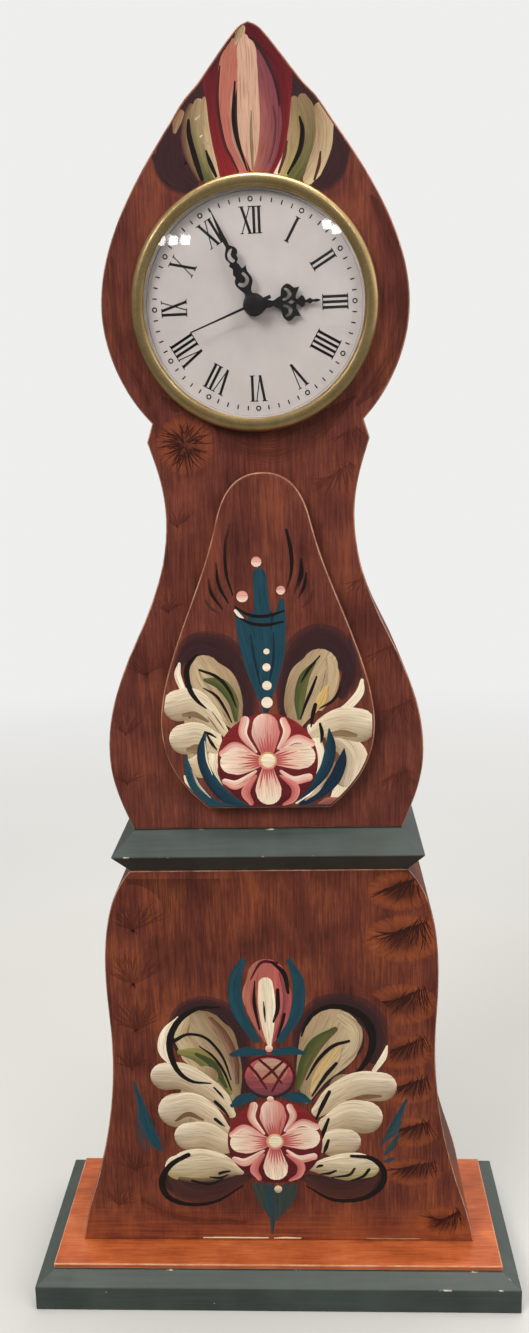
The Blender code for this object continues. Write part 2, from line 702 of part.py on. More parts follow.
def make_drum():
    pipe_hole = HOUR_PIPE_R + RUN_CLEAR
    shell = turned("drum", [
        (SEAT_R, DRUM_FRONT), (SEAT_R, FLANGE_BACK), (DRUM_R, FLANGE_BACK), (DRUM_R, DRUM_BACK),
        (DRUM_INNER_R, DRUM_BACK), (DRUM_INNER_R, DRUM_FLOOR), (pipe_hole, DRUM_FLOOR),
        (pipe_hole, DRUM_FRONT)])
    sunk = DRUM_FLOOR + PIVOT_SINK
    pieces = [shell]
    for spot in post_spots():
        post = pin("post", POST_R, REAR_PLATE_FRONT + CLEAR, sunk)
        post.data.transform(Matrix.Translation((*spot, 0.0)))
        pieces.append(post)
    stud = pin("stud", ARBOR_R, MOTION_LAYER - WHEEL_T - PINION_OVER, sunk)
    stud.data.transform(Matrix.Translation((*MINUTE_SPOT, 0.0)))
    pieces.append(stud)
    drum = place(fuse(pieces), "drum", BLACK_PLASTIC, parent=INSERT)
    pivots = [(THIRD_SPOT, ARBOR_R), (INTER_SPOT, ARBOR_R), (ROTOR_SPOT, ARBOR_R),
              (SET_SPOT, SET_ARBOR_R)]
    for spot, radius in pivots:
        hole = pin("hole", radius + RUN_CLEAR, DRUM_FLOOR - PIVOT_SINK, sunk, PIN_STEPS, CUTTERS)
        hole.location = (*spot, 0.0)
        cut(drum, hole, INSERT)
    for spot in post_spots():
        hole = pin("hole", PLATE_SCREW_R + CLEAR, REAR_PLATE_BACK,
                   REAR_PLATE_FRONT + PLATE_SCREW_L, PIN_STEPS, CUTTERS)
        hole.location = (*spot, 0.0)
        cut(drum, hole, INSERT)


def make_grip_ring():
    front = FLANGE_BACK - GRIP_RING_DEPTH
    back = front - GRIP_RING_W
    inner = DRUM_R + CLEAR
    outer = BORE_R - CLEAR
    shoulder = inner + (outer - inner) * GRIP_RING_SHOULDER
    profile = [(shoulder, front), (outer, (front + back) / 2), (shoulder, back), (inner, back),
               (inner, front)]
    place(turned("grip_ring", profile), "grip_ring", RUBBER, parent=INSERT)


def cell_window():
    """Low and high corners across the opening for the battery, in the plane of the dial."""
    half = TRAY_HALF - TRAY_WALL
    return (-half, CELL_Y - CELL_R - CLEAR), (half, TRAY_TOP - TRAY_WALL)


def make_back_cover():
    spigot_r = DRUM_INNER_R - CLEAR
    inner_r = spigot_r - COVER_SPIGOT_T
    disc = turned("back_cover", [
        (0.0, COVER_FRONT), (inner_r, COVER_FRONT), (inner_r, COVER_FRONT + COVER_SPIGOT_H),
        (spigot_r, COVER_FRONT + COVER_SPIGOT_H), (spigot_r, COVER_FRONT), (DRUM_R, COVER_FRONT),
        (DRUM_R, COVER_BACK), (0.0, COVER_BACK)])
    cover = place(disc, "back_cover", BLACK_PLASTIC, parent=INSERT)
    low, high = cell_window()
    window = block("window", (*low, COVER_BACK - CLEAR),
                   (*high, COVER_FRONT + 2 * COVER_SPIGOT_H), CUTTERS)
    cut(cover, window, INSERT)
    hole = pin("hole", SET_ARBOR_R + CLEAR, COVER_BACK - CLEAR, COVER_FRONT + CLEAR, PIN_STEPS, CUTTERS)
    hole.location = (*SET_SPOT, 0.0)
    cut(cover, hole, INSERT)


def make_rear_plate():
    radius = DRUM_INNER_R - CLEAR
    chord = TRAY_TOP + CLEAR
    start = math.degrees(math.asin(chord / radius))
    sweep = 180.0 - 2 * start
    steps = ROUND_STEPS * 2 // 3
    outline = [polar(radius, start + sweep * i / steps) for i in range(steps + 1)]
    pivots = [(CENTRE, ARBOR_R), (THIRD_SPOT, ARBOR_R), (INTER_SPOT, ARBOR_R),
              (ROTOR_SPOT, ARBOR_R), (SET_SPOT, SET_ARBOR_R)]
    holes = [ring_points(hole_r + RUN_CLEAR, PIN_STEPS, spot) for spot, hole_r in pivots]
    holes += [ring_points(PLATE_SCREW_R + CLEAR, PIN_STEPS, spot) for spot in post_spots()]
    plate = prism("rear_plate", [outline] + holes, REAR_PLATE_BACK, REAR_PLATE_FRONT)
    place(plate, "rear_plate", WHITE_PLASTIC, parent=INSERT)


def make_plate_screws():
    head = REAR_PLATE_BACK - CLEAR
    tip = head + PLATE_SCREW_L
    for number, spot in enumerate(post_spots(), 1):
        name = f"plate_screw_{number}"
        screw = turned(name, [
            (0.0, tip), (PLATE_SCREW_R, tip - PLATE_SCREW_R), (PLATE_SCREW_R, head),
            (PLATE_SCREW_HEAD_R, head), (PLATE_SCREW_CROWN_R, head - PLATE_SCREW_HEAD_T),
            (0.0, head - PLATE_SCREW_HEAD_T)], PIN_STEPS)
        place(screw, name, STEEL, (*spot, 0.0), parent=INSERT)


def gear_outline(teeth, module, phase):
    """Straight-flanked teeth round a pitch circle, one of them centred on the phase."""
    pitch_r = teeth * module / 2
    tip_r = pitch_r + ADDENDUM * module
    root_r = pitch_r - DEDENDUM * module
    step = 360.0 / teeth
    outline = []
    for tooth in range(teeth):
        middle = math.degrees(phase) + tooth * step
        outline += [polar(root_r, middle - step / 2), polar(tip_r, middle - TOOTH_TIP * step),
                    polar(tip_r, middle + TOOTH_TIP * step)]
    return outline


def meshed_phase(teeth_a, phase_a, spot_a, teeth_b, spot_b):
    """The phase that sets gear B's gaps on gear A's teeth where they meet."""
    line = spot_b - spot_a
    towards = math.atan2(line.y, line.x)
    return towards + math.pi + (towards - phase_a) * teeth_a / teeth_b + math.pi / teeth_b


def gear_disc(teeth, module, phase, front, thickness=WHEEL_T, bore=0.0):
    outlines = [gear_outline(teeth, module, phase)]
    if bore:
        outlines.append(ring_points(bore, PIN_STEPS))
    return prism("gear", outlines, front - thickness, front)


def pinion(teeth, module, phase, wheel_front, bore=0.0):
    """A pinion a little longer than the wheel layer that it works in."""
    return gear_disc(teeth, module, phase, wheel_front + PINION_OVER, WHEEL_T + 2 * PINION_OVER, bore)


def wheel_arbor(back=REAR_PLATE_BACK):
    return pin("arbor", ARBOR_R, back + CLEAR, DRUM_FLOOR + PIVOT_SINK - CLEAR)


def sleeve(outer, inner, low, high):
    return turned("sleeve", [(outer, high), (outer, low), (inner, low), (inner, high)], PIN_STEPS)


def make_motion_work():
    """Cannon pinion, minute wheel and hour wheel, and the set arbor that turns them."""
    minute_phase = meshed_phase(CANNON_TEETH, 0.0, CENTRE, MINUTE_TEETH, MINUTE_SPOT)
    cannon = fuse([
        pinion(CANNON_TEETH, CANNON_MODULE, 0.0, MOTION_LAYER, CANNON_BORE_R),
        sleeve(CANNON_R, CANNON_BORE_R, CENTRE_LAYER - WHEEL_T - CLEAR, MINUTE_HAND_Z + 2 * HAND_T)])
    place(cannon, "cannon_pinion", BRASS, parent=INSERT)
    bore = ARBOR_R + RUN_CLEAR
    hour_mesh = meshed_phase(HOUR_TEETH, 0.0, CENTRE, MINUTE_PINION_TEETH, MINUTE_SPOT)
    small = gear_disc(MINUTE_PINION_TEETH, MOTION_MODULE, hour_mesh, HOUR_LAYER,
                      HOUR_LAYER - MOTION_LAYER + WHEEL_T / 2, bore)
    wheel = gear_disc(MINUTE_TEETH, CANNON_MODULE, minute_phase, MOTION_LAYER, WHEEL_T, bore)
    place(fuse([wheel, small]), "minute_wheel", WHITE_PLASTIC, (*MINUTE_SPOT, 0.0), parent=INSERT)
    hour = fuse([
        gear_disc(HOUR_TEETH, MOTION_MODULE, 0.0, HOUR_LAYER, WHEEL_T, HOUR_BORE_R),
        sleeve(HOUR_PIPE_R, HOUR_BORE_R, HOUR_LAYER - WHEEL_T / 2, HOUR_HAND_Z + 2 * HAND_T)])
    place(hour, "hour_wheel", WHITE_PLASTIC, parent=INSERT)
    set_phase = meshed_phase(MINUTE_TEETH, minute_phase, MINUTE_SPOT, SET_TEETH, SET_SPOT)
    arbor = pin("arbor", SET_ARBOR_R, COVER_BACK - KNOB_H / 2, DRUM_FLOOR + PIVOT_SINK - CLEAR)
    setter = fuse([pinion(SET_TEETH, CANNON_MODULE, set_phase, MOTION_LAYER), arbor])
    place(setter, "set_arbor", WHITE_PLASTIC, (*SET_SPOT, 0.0), parent=INSERT)


def make_going_train():
    """Centre, third, second and intermediate wheels, and the motor's rotor."""
    wheel = gear_disc(CENTRE_TEETH, CENTRE_MODULE, 0.0, CENTRE_LAYER, WHEEL_T, CANNON_R + CLEAR)
    place(wheel, "centre_wheel", BRASS, parent=INSERT)
    third_mesh = meshed_phase(CENTRE_TEETH, 0.0, CENTRE, THIRD_PINION_TEETH, THIRD_SPOT)
    third = fuse([
        gear_disc(THIRD_TEETH, THIRD_MODULE, 0.0, THIRD_LAYER), wheel_arbor(),
        pinion(THIRD_PINION_TEETH, CENTRE_MODULE, third_mesh, CENTRE_LAYER)])
    place(third, "third_wheel", WHITE_PLASTIC, (*THIRD_SPOT, 0.0), parent=INSERT)
    second_mesh = meshed_phase(THIRD_TEETH, 0.0, THIRD_SPOT, SECOND_PINION_TEETH, CENTRE)
    second = fuse([
        gear_disc(SECOND_TEETH, SECOND_MODULE, 0.0, SECOND_LAYER),
        pin("arbor", ARBOR_R, REAR_PLATE_BACK + CLEAR, SECOND_HAND_Z + HAND_T),
        pinion(SECOND_PINION_TEETH, THIRD_MODULE, second_mesh, THIRD_LAYER)])
    place(second, "second_wheel", WHITE_PLASTIC, parent=INSERT)
    inter_mesh = meshed_phase(SECOND_TEETH, 0.0, CENTRE, INTER_PINION_TEETH, INTER_SPOT)
    inter = fuse([
        gear_disc(INTER_TEETH, ROTOR_MODULE, 0.0, INTER_LAYER), wheel_arbor(),
        pinion(INTER_PINION_TEETH, SECOND_MODULE, inter_mesh, SECOND_LAYER)])
    place(inter, "intermediate_wheel", WHITE_PLASTIC, (*INTER_SPOT, 0.0), parent=INSERT)
    rotor_mesh = meshed_phase(INTER_TEETH, 0.0, INTER_SPOT, ROTOR_PINION_TEETH, ROTOR_SPOT)
    rotor = fuse([
        pin("magnet", MAGNET_R, MAGNET_BACK, MAGNET_LAYER, MID_STEPS), wheel_arbor(),
        pinion(ROTOR_PINION_TEETH, ROTOR_MODULE, rotor_mesh, INTER_LAYER)])
    place(rotor, "rotor", BLACK_METAL, (*ROTOR_SPOT, 0.0), parent=INSERT)


def make_motor():
    """Stator plate round the rotor, and the coil on the core that bridges its arms."""
    left = ROTOR_SPOT.x - STATOR_W / 3
    right = left + STATOR_W
    bridge = STATOR_FOOT + STATOR_BRIDGE
    outline = [(left, STATOR_FOOT), (right, STATOR_FOOT), (right, STATOR_TOP),
               (right - STATOR_ARM, STATOR_TOP), (right - STATOR_ARM, bridge),
               (left + STATOR_ARM, bridge), (left + STATOR_ARM, STATOR_TOP), (left, STATOR_TOP)]
    hole = ring_points(MAGNET_R + STATOR_GAP, MID_STEPS, ROTOR_SPOT)
    plate = prism("stator", [outline, hole], STATOR_FRONT - STATOR_T, STATOR_FRONT)
    place(plate, "stator", STEEL, parent=INSERT)
    core = block("coil_core", (left, CORE_Y - CORE_H / 2, CORE_BACK),
                 (right, CORE_Y + CORE_H / 2, CORE_BACK + CORE_T))
    place(core, "coil_core", STEEL, parent=INSERT)
    end = STATOR_W / 2 - STATOR_ARM - CLEAR
    winding_end = end - COIL_FLANGE_T
    flange_r = COIL_R + COIL_FLANGE_OVER
    bore_r = math.hypot(CORE_H, CORE_T) / 2 + CLEAR
    spool = turned("coil", [
        (flange_r, end), (flange_r, winding_end), (COIL_R, winding_end), (COIL_R, -winding_end),
        (flange_r, -winding_end), (flange_r, -end), (bore_r, -end), (bore_r, end)], MID_STEPS)
    spool.rotation_euler.y = math.pi / 2
    place(spool, "coil", COPPER, ((left + right) / 2, CORE_Y, CORE_BACK + CORE_T / 2), parent=INSERT)


def make_circuit():
    back = REAR_PLATE_FRONT + CLEAR
    front = back + BOARD_T
    board = block("circuit_board", (BOARD_X - BOARD_W / 2, BOARD_Y - BOARD_H / 2, back),
                  (BOARD_X + BOARD_W / 2, BOARD_Y + BOARD_H / 2, front))
    place(board, "circuit_board", BOARD_GREEN, parent=INSERT)
    can = pin("quartz_can", QUARTZ_R, -QUARTZ_L / 2, QUARTZ_L / 2)
    can.rotation_euler.y = math.pi / 2
    low = front + CLEAR
    place(can, "quartz_can", STEEL, (BOARD_X, BOARD_Y + BOARD_H / 4, low + QUARTZ_R), parent=INSERT)
    dome = dome_arc(CHIP_R, low, low + CHIP_H, SMALL_DOME_RINGS)
    chip = turned("chip", dome + [(0.0, low)], PIN_STEPS)
    place(chip, "chip", BLACK_PLASTIC, (BOARD_X, BOARD_Y - BOARD_H / 4, 0.0), parent=INSERT)


def make_battery():
    """Battery along X with its raised end at the left."""
    end = CELL_L / 2
    cell = turned("battery", [
        (0.0, end + CELL_NUB_H), (CELL_NUB_R, end + CELL_NUB_H), (CELL_NUB_R, end), (CELL_R, end),
        (CELL_R, -end), (0.0, -end)], MID_STEPS)
    cell.rotation_euler.y = -math.pi / 2
    place(cell, "battery", CELL_JACKET, (0.0, CELL_Y, CELL_Z), parent=INSERT)


def make_battery_tray():
    """A trough round the battery, open to the back and below."""
    back = COVER_FRONT + CLEAR
    foot = CELL_Y - CELL_R / 2
    tray = block("battery_tray", (-TRAY_HALF, foot, back), (TRAY_HALF, TRAY_TOP, TRAY_FLOOR_FRONT))
    place(tray, "battery_tray", BLACK_PLASTIC, parent=INSERT)
    low, high = cell_window()
    hollow = block("hollow", (*low, back - CLEAR), (*high, TRAY_FLOOR_FRONT - TRAY_WALL), CUTTERS)
    cut(tray, hollow, INSERT)


def make_contacts():
    """Sprung strips between the tray's ends and the battery, bowed towards the battery."""
    wall = TRAY_HALF - TRAY_WALL - CLEAR
    ends = ((-1, "contact_positive", CELL_L / 2 + CELL_NUB_H), (1, "contact_negative", CELL_L / 2))
    shares = [step / CONTACT_STEPS for step in range(-CONTACT_STEPS, CONTACT_STEPS + 1)]
    for side, name, face in ends:
        bow = wall - face - CLEAR - CONTACT_T
        arch = [(wall - bow * math.cos(math.pi / 2 * t) ** 2, CONTACT_HALF * t) for t in shares]
        outline = [(side * x, y) for x, y in arch]
        outline += [(side * (x - CONTACT_T), y) for x, y in reversed(arch)]
        strip = prism(name, [outline], -CONTACT_H / 2, CONTACT_H / 2)
        strip.rotation_euler.x = math.pi / 2
        place(strip, name, STEEL, (0.0, CELL_Y + (CELL_R - CONTACT_H / 2) / 2, CELL_Z), parent=INSERT)


def make_set_knob():
    front = COVER_BACK - CLEAR
    rim = []
    for flute in range(KNOB_FLUTES):
        middle = 360.0 * flute / KNOB_FLUTES
        quarter = 90.0 / KNOB_FLUTES
        rim += [polar(KNOB_R, middle - quarter), polar(KNOB_R, middle + quarter),
                polar(KNOB_R - KNOB_FLUTE_DEPTH, middle + 2 * quarter)]
    knob = prism("set_knob", [rim], front - KNOB_H, front)
    place(knob, "set_knob", BLACK_PLASTIC, (*SET_SPOT, 0.0), parent=INSERT)
    socket = pin("socket", SET_ARBOR_R + CLEAR, COVER_BACK - KNOB_H / 2 - CLEAR, front + CLEAR,
                 PIN_STEPS, CUTTERS)
    socket.location = (*SET_SPOT, 0.0)
    cut(knob, socket, INSERT)


def flowing(points, sharp=()):
    """A closed smooth outline through points in millimetres, with sharp corners where named."""
    spots = [Vector(point) * MM for point in points]
    count = len(spots)
    outline = []
    for i, spot in enumerate(spots):
        before = spots[i - 1]
        after = spots[(i + 1) % count]
        none = Vector((0.0, 0.0))
        if i in sharp:
            outline.append((spot, none, none))
            continue
        along = (after - before).normalized()
        outline.append((spot, -along * (spot - before).length / 3, along * (after - spot).length / 3))
    return outline


def ring_outline(radius):
    """A round hole on the hand's axis, as a smooth outline."""
    reach = radius * 4 / 3 * math.tan(math.pi / 8)
    outline = []
    for quarter in range(4):
        spot = polar(radius, 90 * quarter)
        along = polar(reach, 90 * quarter + 90)
        outline.append((spot, -along, along))
    return outline


def hand_plate(name, outlines, height, rest, axle):
    """A flat pierced hand pointing up at twelve, turned to its resting place."""
    plate = smooth_plate(name, outlines + [ring_outline(axle + CLEAR)], HAND_T, HAND_OUTLINE_STEPS)
    place(plate, name, BLACK_METAL, (0.0, 0.0, height + HAND_T / 2), -math.radians(rest), INSERT)


def make_hour_hand():
    """A short hand with a waved stem, a pair of open scrolls, small crosses and a fine point."""
    tip = HOUR_HAND_L / MM
    right = [(0, -3.2), (2.3, -2.2), (3.2, 0), (2.3, 2.2), (1.1, 3.3), (1.05, 4.3), (0.75, 5.3), (1.45, 6.6),
             (1.85, 7.5), (3.7, 7.8), (4.7, 8.65), (5.05, 9.6), (4.6, 10.5), (3.85, 11.4), (4.0, 12.9),
             (2.9, 12.4), (1.6, 11.75), (0.65, 12.0), (1.4, 13.0), (1.6, 13.6), (0.9, 14.2), (0.3, 14.5),
             (0.8, 15.7), (0.3, 16.5), (0.45, 17.6), (0, tip)]
    left = [(-x, y) for x, y in reversed(right[1:-1])]
    corner = len(right) - 1
    sharp = (8, 14, corner, 2 * corner - 14, 2 * corner - 8)
    scroll = [(3.75, 8.6), (3.85, 9.25), (3.3, 10.1), (2.2, 10.65), (1.35, 10.2), (0.7, 9.2), (0.45, 8.4),
              (0.8, 7.95), (1.2, 8.2), (1.35, 8.95), (1.9, 9.45), (2.7, 9.45), (3.2, 8.95)]
    mirrored = [(-x, y) for x, y in reversed(scroll)]
    middle = [(0, 9.5), (0.6, 10.45), (0, 11.4), (-0.6, 10.45)]
    outlines = [flowing(right + left, sharp), flowing(scroll), flowing(mirrored), flowing(middle, range(4))]
    hand_plate("hour_hand", outlines, HOUR_HAND_Z, HOUR_REST, HOUR_PIPE_R)


def make_minute_hand():
    """A long hand that winds through two open scrolls into a slender straight blade."""
    tip = MINUTE_HAND_L / MM
    right = [(0, -2.7), (1.9, -1.9), (2.7, 0), (2.1, 1.8), (0.9, 3.2), (1.35, 4.4), (2.4, 5.8), (2.55, 7.3),
             (2.2, 8.8), (2.5, 10.5), (1.25, 10.1), (0.95, 11.4), (0.6, 12.1), (1.35, 12.9), (1.35, 13.9),
             (2.0, 14.6), (1.95, 15.8), (1.25, 16.6), (0.65, 17.2), (0.7, 18.7), (0.55, 20.0), (0.45, 22.5),
             (0, tip)]
    left = [(-0.45, 22.5), (-0.6, 20.0), (-0.6, 18.2), (-0.5, 16.9), (-1.5, 15.5), (-1.85, 14.0), (-1.3, 12.75),
            (-1.9, 12.1), (-1.25, 10.9), (-1.85, 9.6), (-1.5, 8.6), (-2.2, 7.8), (-2.35, 6.4), (-1.6, 4.7),
            (-1.1, 3.4), (-2.1, 1.8), (-2.7, 0), (-1.9, -1.9)]
    lower = [(1.0, 9.15), (1.55, 8.0), (1.75, 6.8), (1.0, 5.75), (-0.45, 5.3), (-1.75, 6.4), (-1.25, 7.0),
             (-0.15, 6.35), (0.75, 6.9), (0.75, 7.95), (0.4, 8.75)]
    upper = [(0.9, 16.05), (0.0, 15.95), (-0.95, 15.1), (-1.1, 13.7), (-0.5, 12.6), (0.35, 12.8), (-0.05, 13.8),
             (-0.05, 14.7), (0.55, 15.4)]
    outlines = [flowing(right + left, (9, 22, 30)), flowing(lower), flowing(upper)]
    hand_plate("minute_hand", outlines, MINUTE_HAND_Z, MINUTE_REST, CANNON_R)


def make_second_hand():
    """A straight needle with a short tail under a domed round cap."""
    back = SECOND_HAND_Z
    dome = dome_arc(SECOND_CAP_R, back + SECOND_CAP_H / 2, back + SECOND_CAP_H, SMALL_DOME_RINGS)
    cap = turned("cap", dome + [(SECOND_CAP_R, back), (0.0, back)], MID_STEPS)
    right = [(SECOND_TAIL_HALF, -SECOND_TAIL_L), (SECOND_TAIL_HALF, 0.0),
             (SECOND_NEEDLE_HALF, SECOND_CAP_R), (SECOND_NEEDLE_HALF / 2, SECOND_HAND_L)]
    left = [(-x, y) for x, y in reversed(right)]
    needle = prism("needle", [right + left], back + HAND_T / 4, back + HAND_T)
    hand = fuse([cap, needle])
    place(hand, "second_hand", BLACK_METAL, turn=-math.radians(SECOND_REST), parent=INSERT)
    socket = pin("socket", ARBOR_R + CLEAR, back - CLEAR, back + HAND_T + CLEAR, PIN_STEPS, CUTTERS)
    cut(hand, socket, INSERT)


def make_case():
    plinth, step = make_plinth()
    lower = make_lower_case()
    moulding = make_moulding()
    upper = make_upper_case()
    make_door_panel()
    make_dowels(lower, moulding, upper)
    make_plinth_screws([plinth, step, lower])


def make_insert():
    make_bezel()
    make_crystal()
    make_dial()
    make_drum()
    make_grip_ring()
    make_back_cover()
    make_rear_plate()
    make_plate_screws()
    make_motion_work()
    make_going_train()
    make_motor()
    make_circuit()
    make_battery()
    make_battery_tray()
    make_contacts()
    make_set_knob()
    make_hour_hand()
    make_minute_hand()
    make_second_hand()


make_case()
make_insert()
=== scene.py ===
"""Small painted table clock: finishes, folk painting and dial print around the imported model.

Lengths are metres; +X is right, +Y is back and +Z is up. Painted strokes lie on a panel's front as thin
films of paint, and their points are millimetres: across from the middle, up from the floor, half width.
"""

import math
import random

import bmesh
import bpy
import numpy as np
from mathutils import Matrix, Vector


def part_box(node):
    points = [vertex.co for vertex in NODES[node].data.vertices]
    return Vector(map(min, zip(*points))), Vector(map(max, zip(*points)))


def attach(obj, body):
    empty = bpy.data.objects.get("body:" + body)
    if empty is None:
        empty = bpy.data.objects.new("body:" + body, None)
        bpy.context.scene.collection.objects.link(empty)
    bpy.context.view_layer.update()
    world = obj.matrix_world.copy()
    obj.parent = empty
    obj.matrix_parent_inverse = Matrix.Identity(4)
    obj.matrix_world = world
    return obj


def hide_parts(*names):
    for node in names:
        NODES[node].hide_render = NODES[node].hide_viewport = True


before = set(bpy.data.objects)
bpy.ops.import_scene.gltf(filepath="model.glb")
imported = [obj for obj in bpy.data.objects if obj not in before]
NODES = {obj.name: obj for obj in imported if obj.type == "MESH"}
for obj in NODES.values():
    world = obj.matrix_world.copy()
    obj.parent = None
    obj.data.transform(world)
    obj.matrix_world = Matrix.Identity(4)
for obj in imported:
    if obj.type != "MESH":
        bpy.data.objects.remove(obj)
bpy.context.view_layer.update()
MM = 0.001

# The photograph's frame, and the camera that was fitted to the outline in it.
PHOTO_H = 1333
CAMERA_SPOT = Vector((14.59, -349.55, 279.85)) * MM
CAMERA_YAW = -0.0428
CAMERA_PITCH = 0.2037
CAMERA_ROLL = -0.0242
CAMERA_FOCAL_PX = 1126.72
CAMERA_NEAR = 0.01
SENSOR = 36.0
BACKGROUND = (0.86, 0.86, 0.85, 1.0)
FLOOR_FADE = (0.25, 0.9)


def make_camera():
    data = bpy.data.cameras.new("photo_camera")
    data.sensor_width = SENSOR
    data.lens = SENSOR * CAMERA_FOCAL_PX / PHOTO_H
    data.clip_start = CAMERA_NEAR
    level = math.cos(CAMERA_PITCH)
    forward = Vector((math.sin(CAMERA_YAW) * level, math.cos(CAMERA_YAW) * level, -math.sin(CAMERA_PITCH)))
    right = Vector((math.cos(CAMERA_YAW), -math.sin(CAMERA_YAW), 0.0))
    up = right.cross(forward)
    across = right * math.cos(CAMERA_ROLL) + up * math.sin(CAMERA_ROLL)
    above = up * math.cos(CAMERA_ROLL) - right * math.sin(CAMERA_ROLL)
    turn = Matrix((across, above, -forward)).transposed()
    camera = bpy.data.objects.new("photo_camera", data)
    camera.matrix_world = Matrix.Translation(CAMERA_SPOT) @ turn.to_4x4()
    bpy.context.scene.collection.objects.link(camera)
    bpy.context.scene.camera = camera


# Colours are written as 8-bit sRGB.
PAINTS = {
    "white": (246, 231, 206),
    "cream": (233, 214, 182),
    "buff": (200, 180, 146),
    "beige": (186, 160, 126),
    "tan": (138, 114, 86),
    "olive": (104, 102, 60),
    "sap": (156, 144, 84),
    "green": (66, 78, 44),
    "teal": (34, 70, 84),
    "navy": (26, 44, 62),
    "slate": (56, 66, 64),
    "pink": (222, 140, 130),
    "rose": (188, 92, 92),
    "blush": (246, 224, 206),
    "crimson": (132, 40, 44),
    "wine": (84, 28, 34),
    "plum": (118, 62, 72),
    "dusty": (172, 106, 90),
    "petal": (198, 159, 137),
    "maroon": (58, 37, 40),
    "umber": (80, 46, 40),
    "black": (30, 24, 23),
    "honey": (150, 78, 44),
    "vein": (56, 26, 21),
    "yellow": (212, 178, 114),
}


def linear(red, green, blue):
    """The linear colour of an 8-bit sRGB one."""
    parts = [v / 255 for v in (red, green, blue)]
    return tuple(v / 12.92 if v <= 0.04045 else ((v + 0.055) / 1.055) ** 2.4 for v in parts) + (1.0,)


class Nodes:
    """A tree of shader nodes, built node by node."""

    def __init__(self, tree):
        self.tree = tree

    def put(self, socket, value):
        if isinstance(value, bpy.types.NodeSocket):
            self.tree.links.new(value, socket)
        else:
            socket.default_value = value

    def add(self, kind, inputs=(), **settings):
        node = self.tree.nodes.new("ShaderNode" + kind)
        for key, value in settings.items():
            setattr(node, key, value)
        for key, value in dict(inputs).items():
            self.put(node.inputs[key], value)
        return node

    def fade(self, fac, low, high, start=0.0, end=1.0):
        """fac from low to high, mapped to start to end and held there."""
        ends = {"From Min": low, "From Max": high, "To Min": start, "To Max": end}
        return self.add("MapRange", {"Value": fac, **ends}).outputs["Result"]

    def math(self, operation, first, second):
        return self.add("Math", {0: first, 1: second}, operation=operation).outputs[0]

    def total(self, *parts):
        """The sum of values, each times its weight."""
        first, *others = [self.math("MULTIPLY", value, weight) for value, weight in parts]
        for other in others:
            first = self.math("ADD", first, other)
        return first

    def either(self, fac, first, second):
        return self.add("MixShader", {0: fac, 1: first, 2: second}).outputs[0]

    def end(self, surface):
        self.put(self.tree.get_output_node("ALL").inputs["Surface"], surface)


class Shader(Nodes):
    """A material around its Principled shader."""

    def __init__(self, name, **sockets):
        self.material = bpy.data.materials.new(name)
        self.material.use_nodes = True
        super().__init__(self.material.node_tree)
        self.surface = self.tree.nodes["Principled BSDF"]
        self.spot = self.add("TexCoord").outputs["Object"]
        self.set(**sockets)

    def set(self, **sockets):
        """Sets or links the shader's own sockets: base_color for Base Color, and so on."""
        for key, value in sockets.items():
            words = " ".join("IOR" if w == "ior" else w.capitalize() for w in key.split("_"))
            self.put(self.surface.inputs[words], value)

    def grains(self, size, stretch=(1.0, 1.0, 1.0), detail=4.0, rough=0.55, spot=None, shift=0.0):
        """Noise whose grains are about size metres, drawn out along an axis by stretch."""
        scale = [1 / (size * s) for s in stretch]
        moved = self.add("Mapping", {"Vector": spot or self.spot, "Scale": scale, "Location": (shift,) * 3})
        noise = {"Vector": moved.outputs[0], "Scale": 1.0, "Detail": detail, "Roughness": rough}
        return self.add("TexNoise", noise).outputs["Fac"]

    def ramp(self, fac, *stops):
        node = self.add("ValToRGB", {"Fac": fac})
        row = node.color_ramp.elements
        while len(row) < len(stops):
            row.new(0.5)
        for element, (place, colour) in zip(row, stops):
            element.position = place
            element.color = linear(*colour)
        return node.outputs["Color"]

    def mix(self, fac, first, second, blend="MIX"):
        node = self.add("Mix", {0: fac, 6: first, 7: second}, data_type="RGBA", blend_type=blend)
        return node.outputs[2]

    def read(self, attribute):
        return self.add("Attribute", attribute_name=attribute).outputs

    def bump(self, height, strength, depth):
        node = self.add("Bump", {"Height": height, "Strength": strength, "Distance": depth})
        self.set(normal=node.outputs[0])


# How far the comb's streaks are drawn out, up the wood and level, and where the level ones begin.
COMB_LONG = 18.0
LEVEL_LONG = 30.0
LEVEL_FADE = 12 * MM
LEVEL_RAGGED = 16 * MM


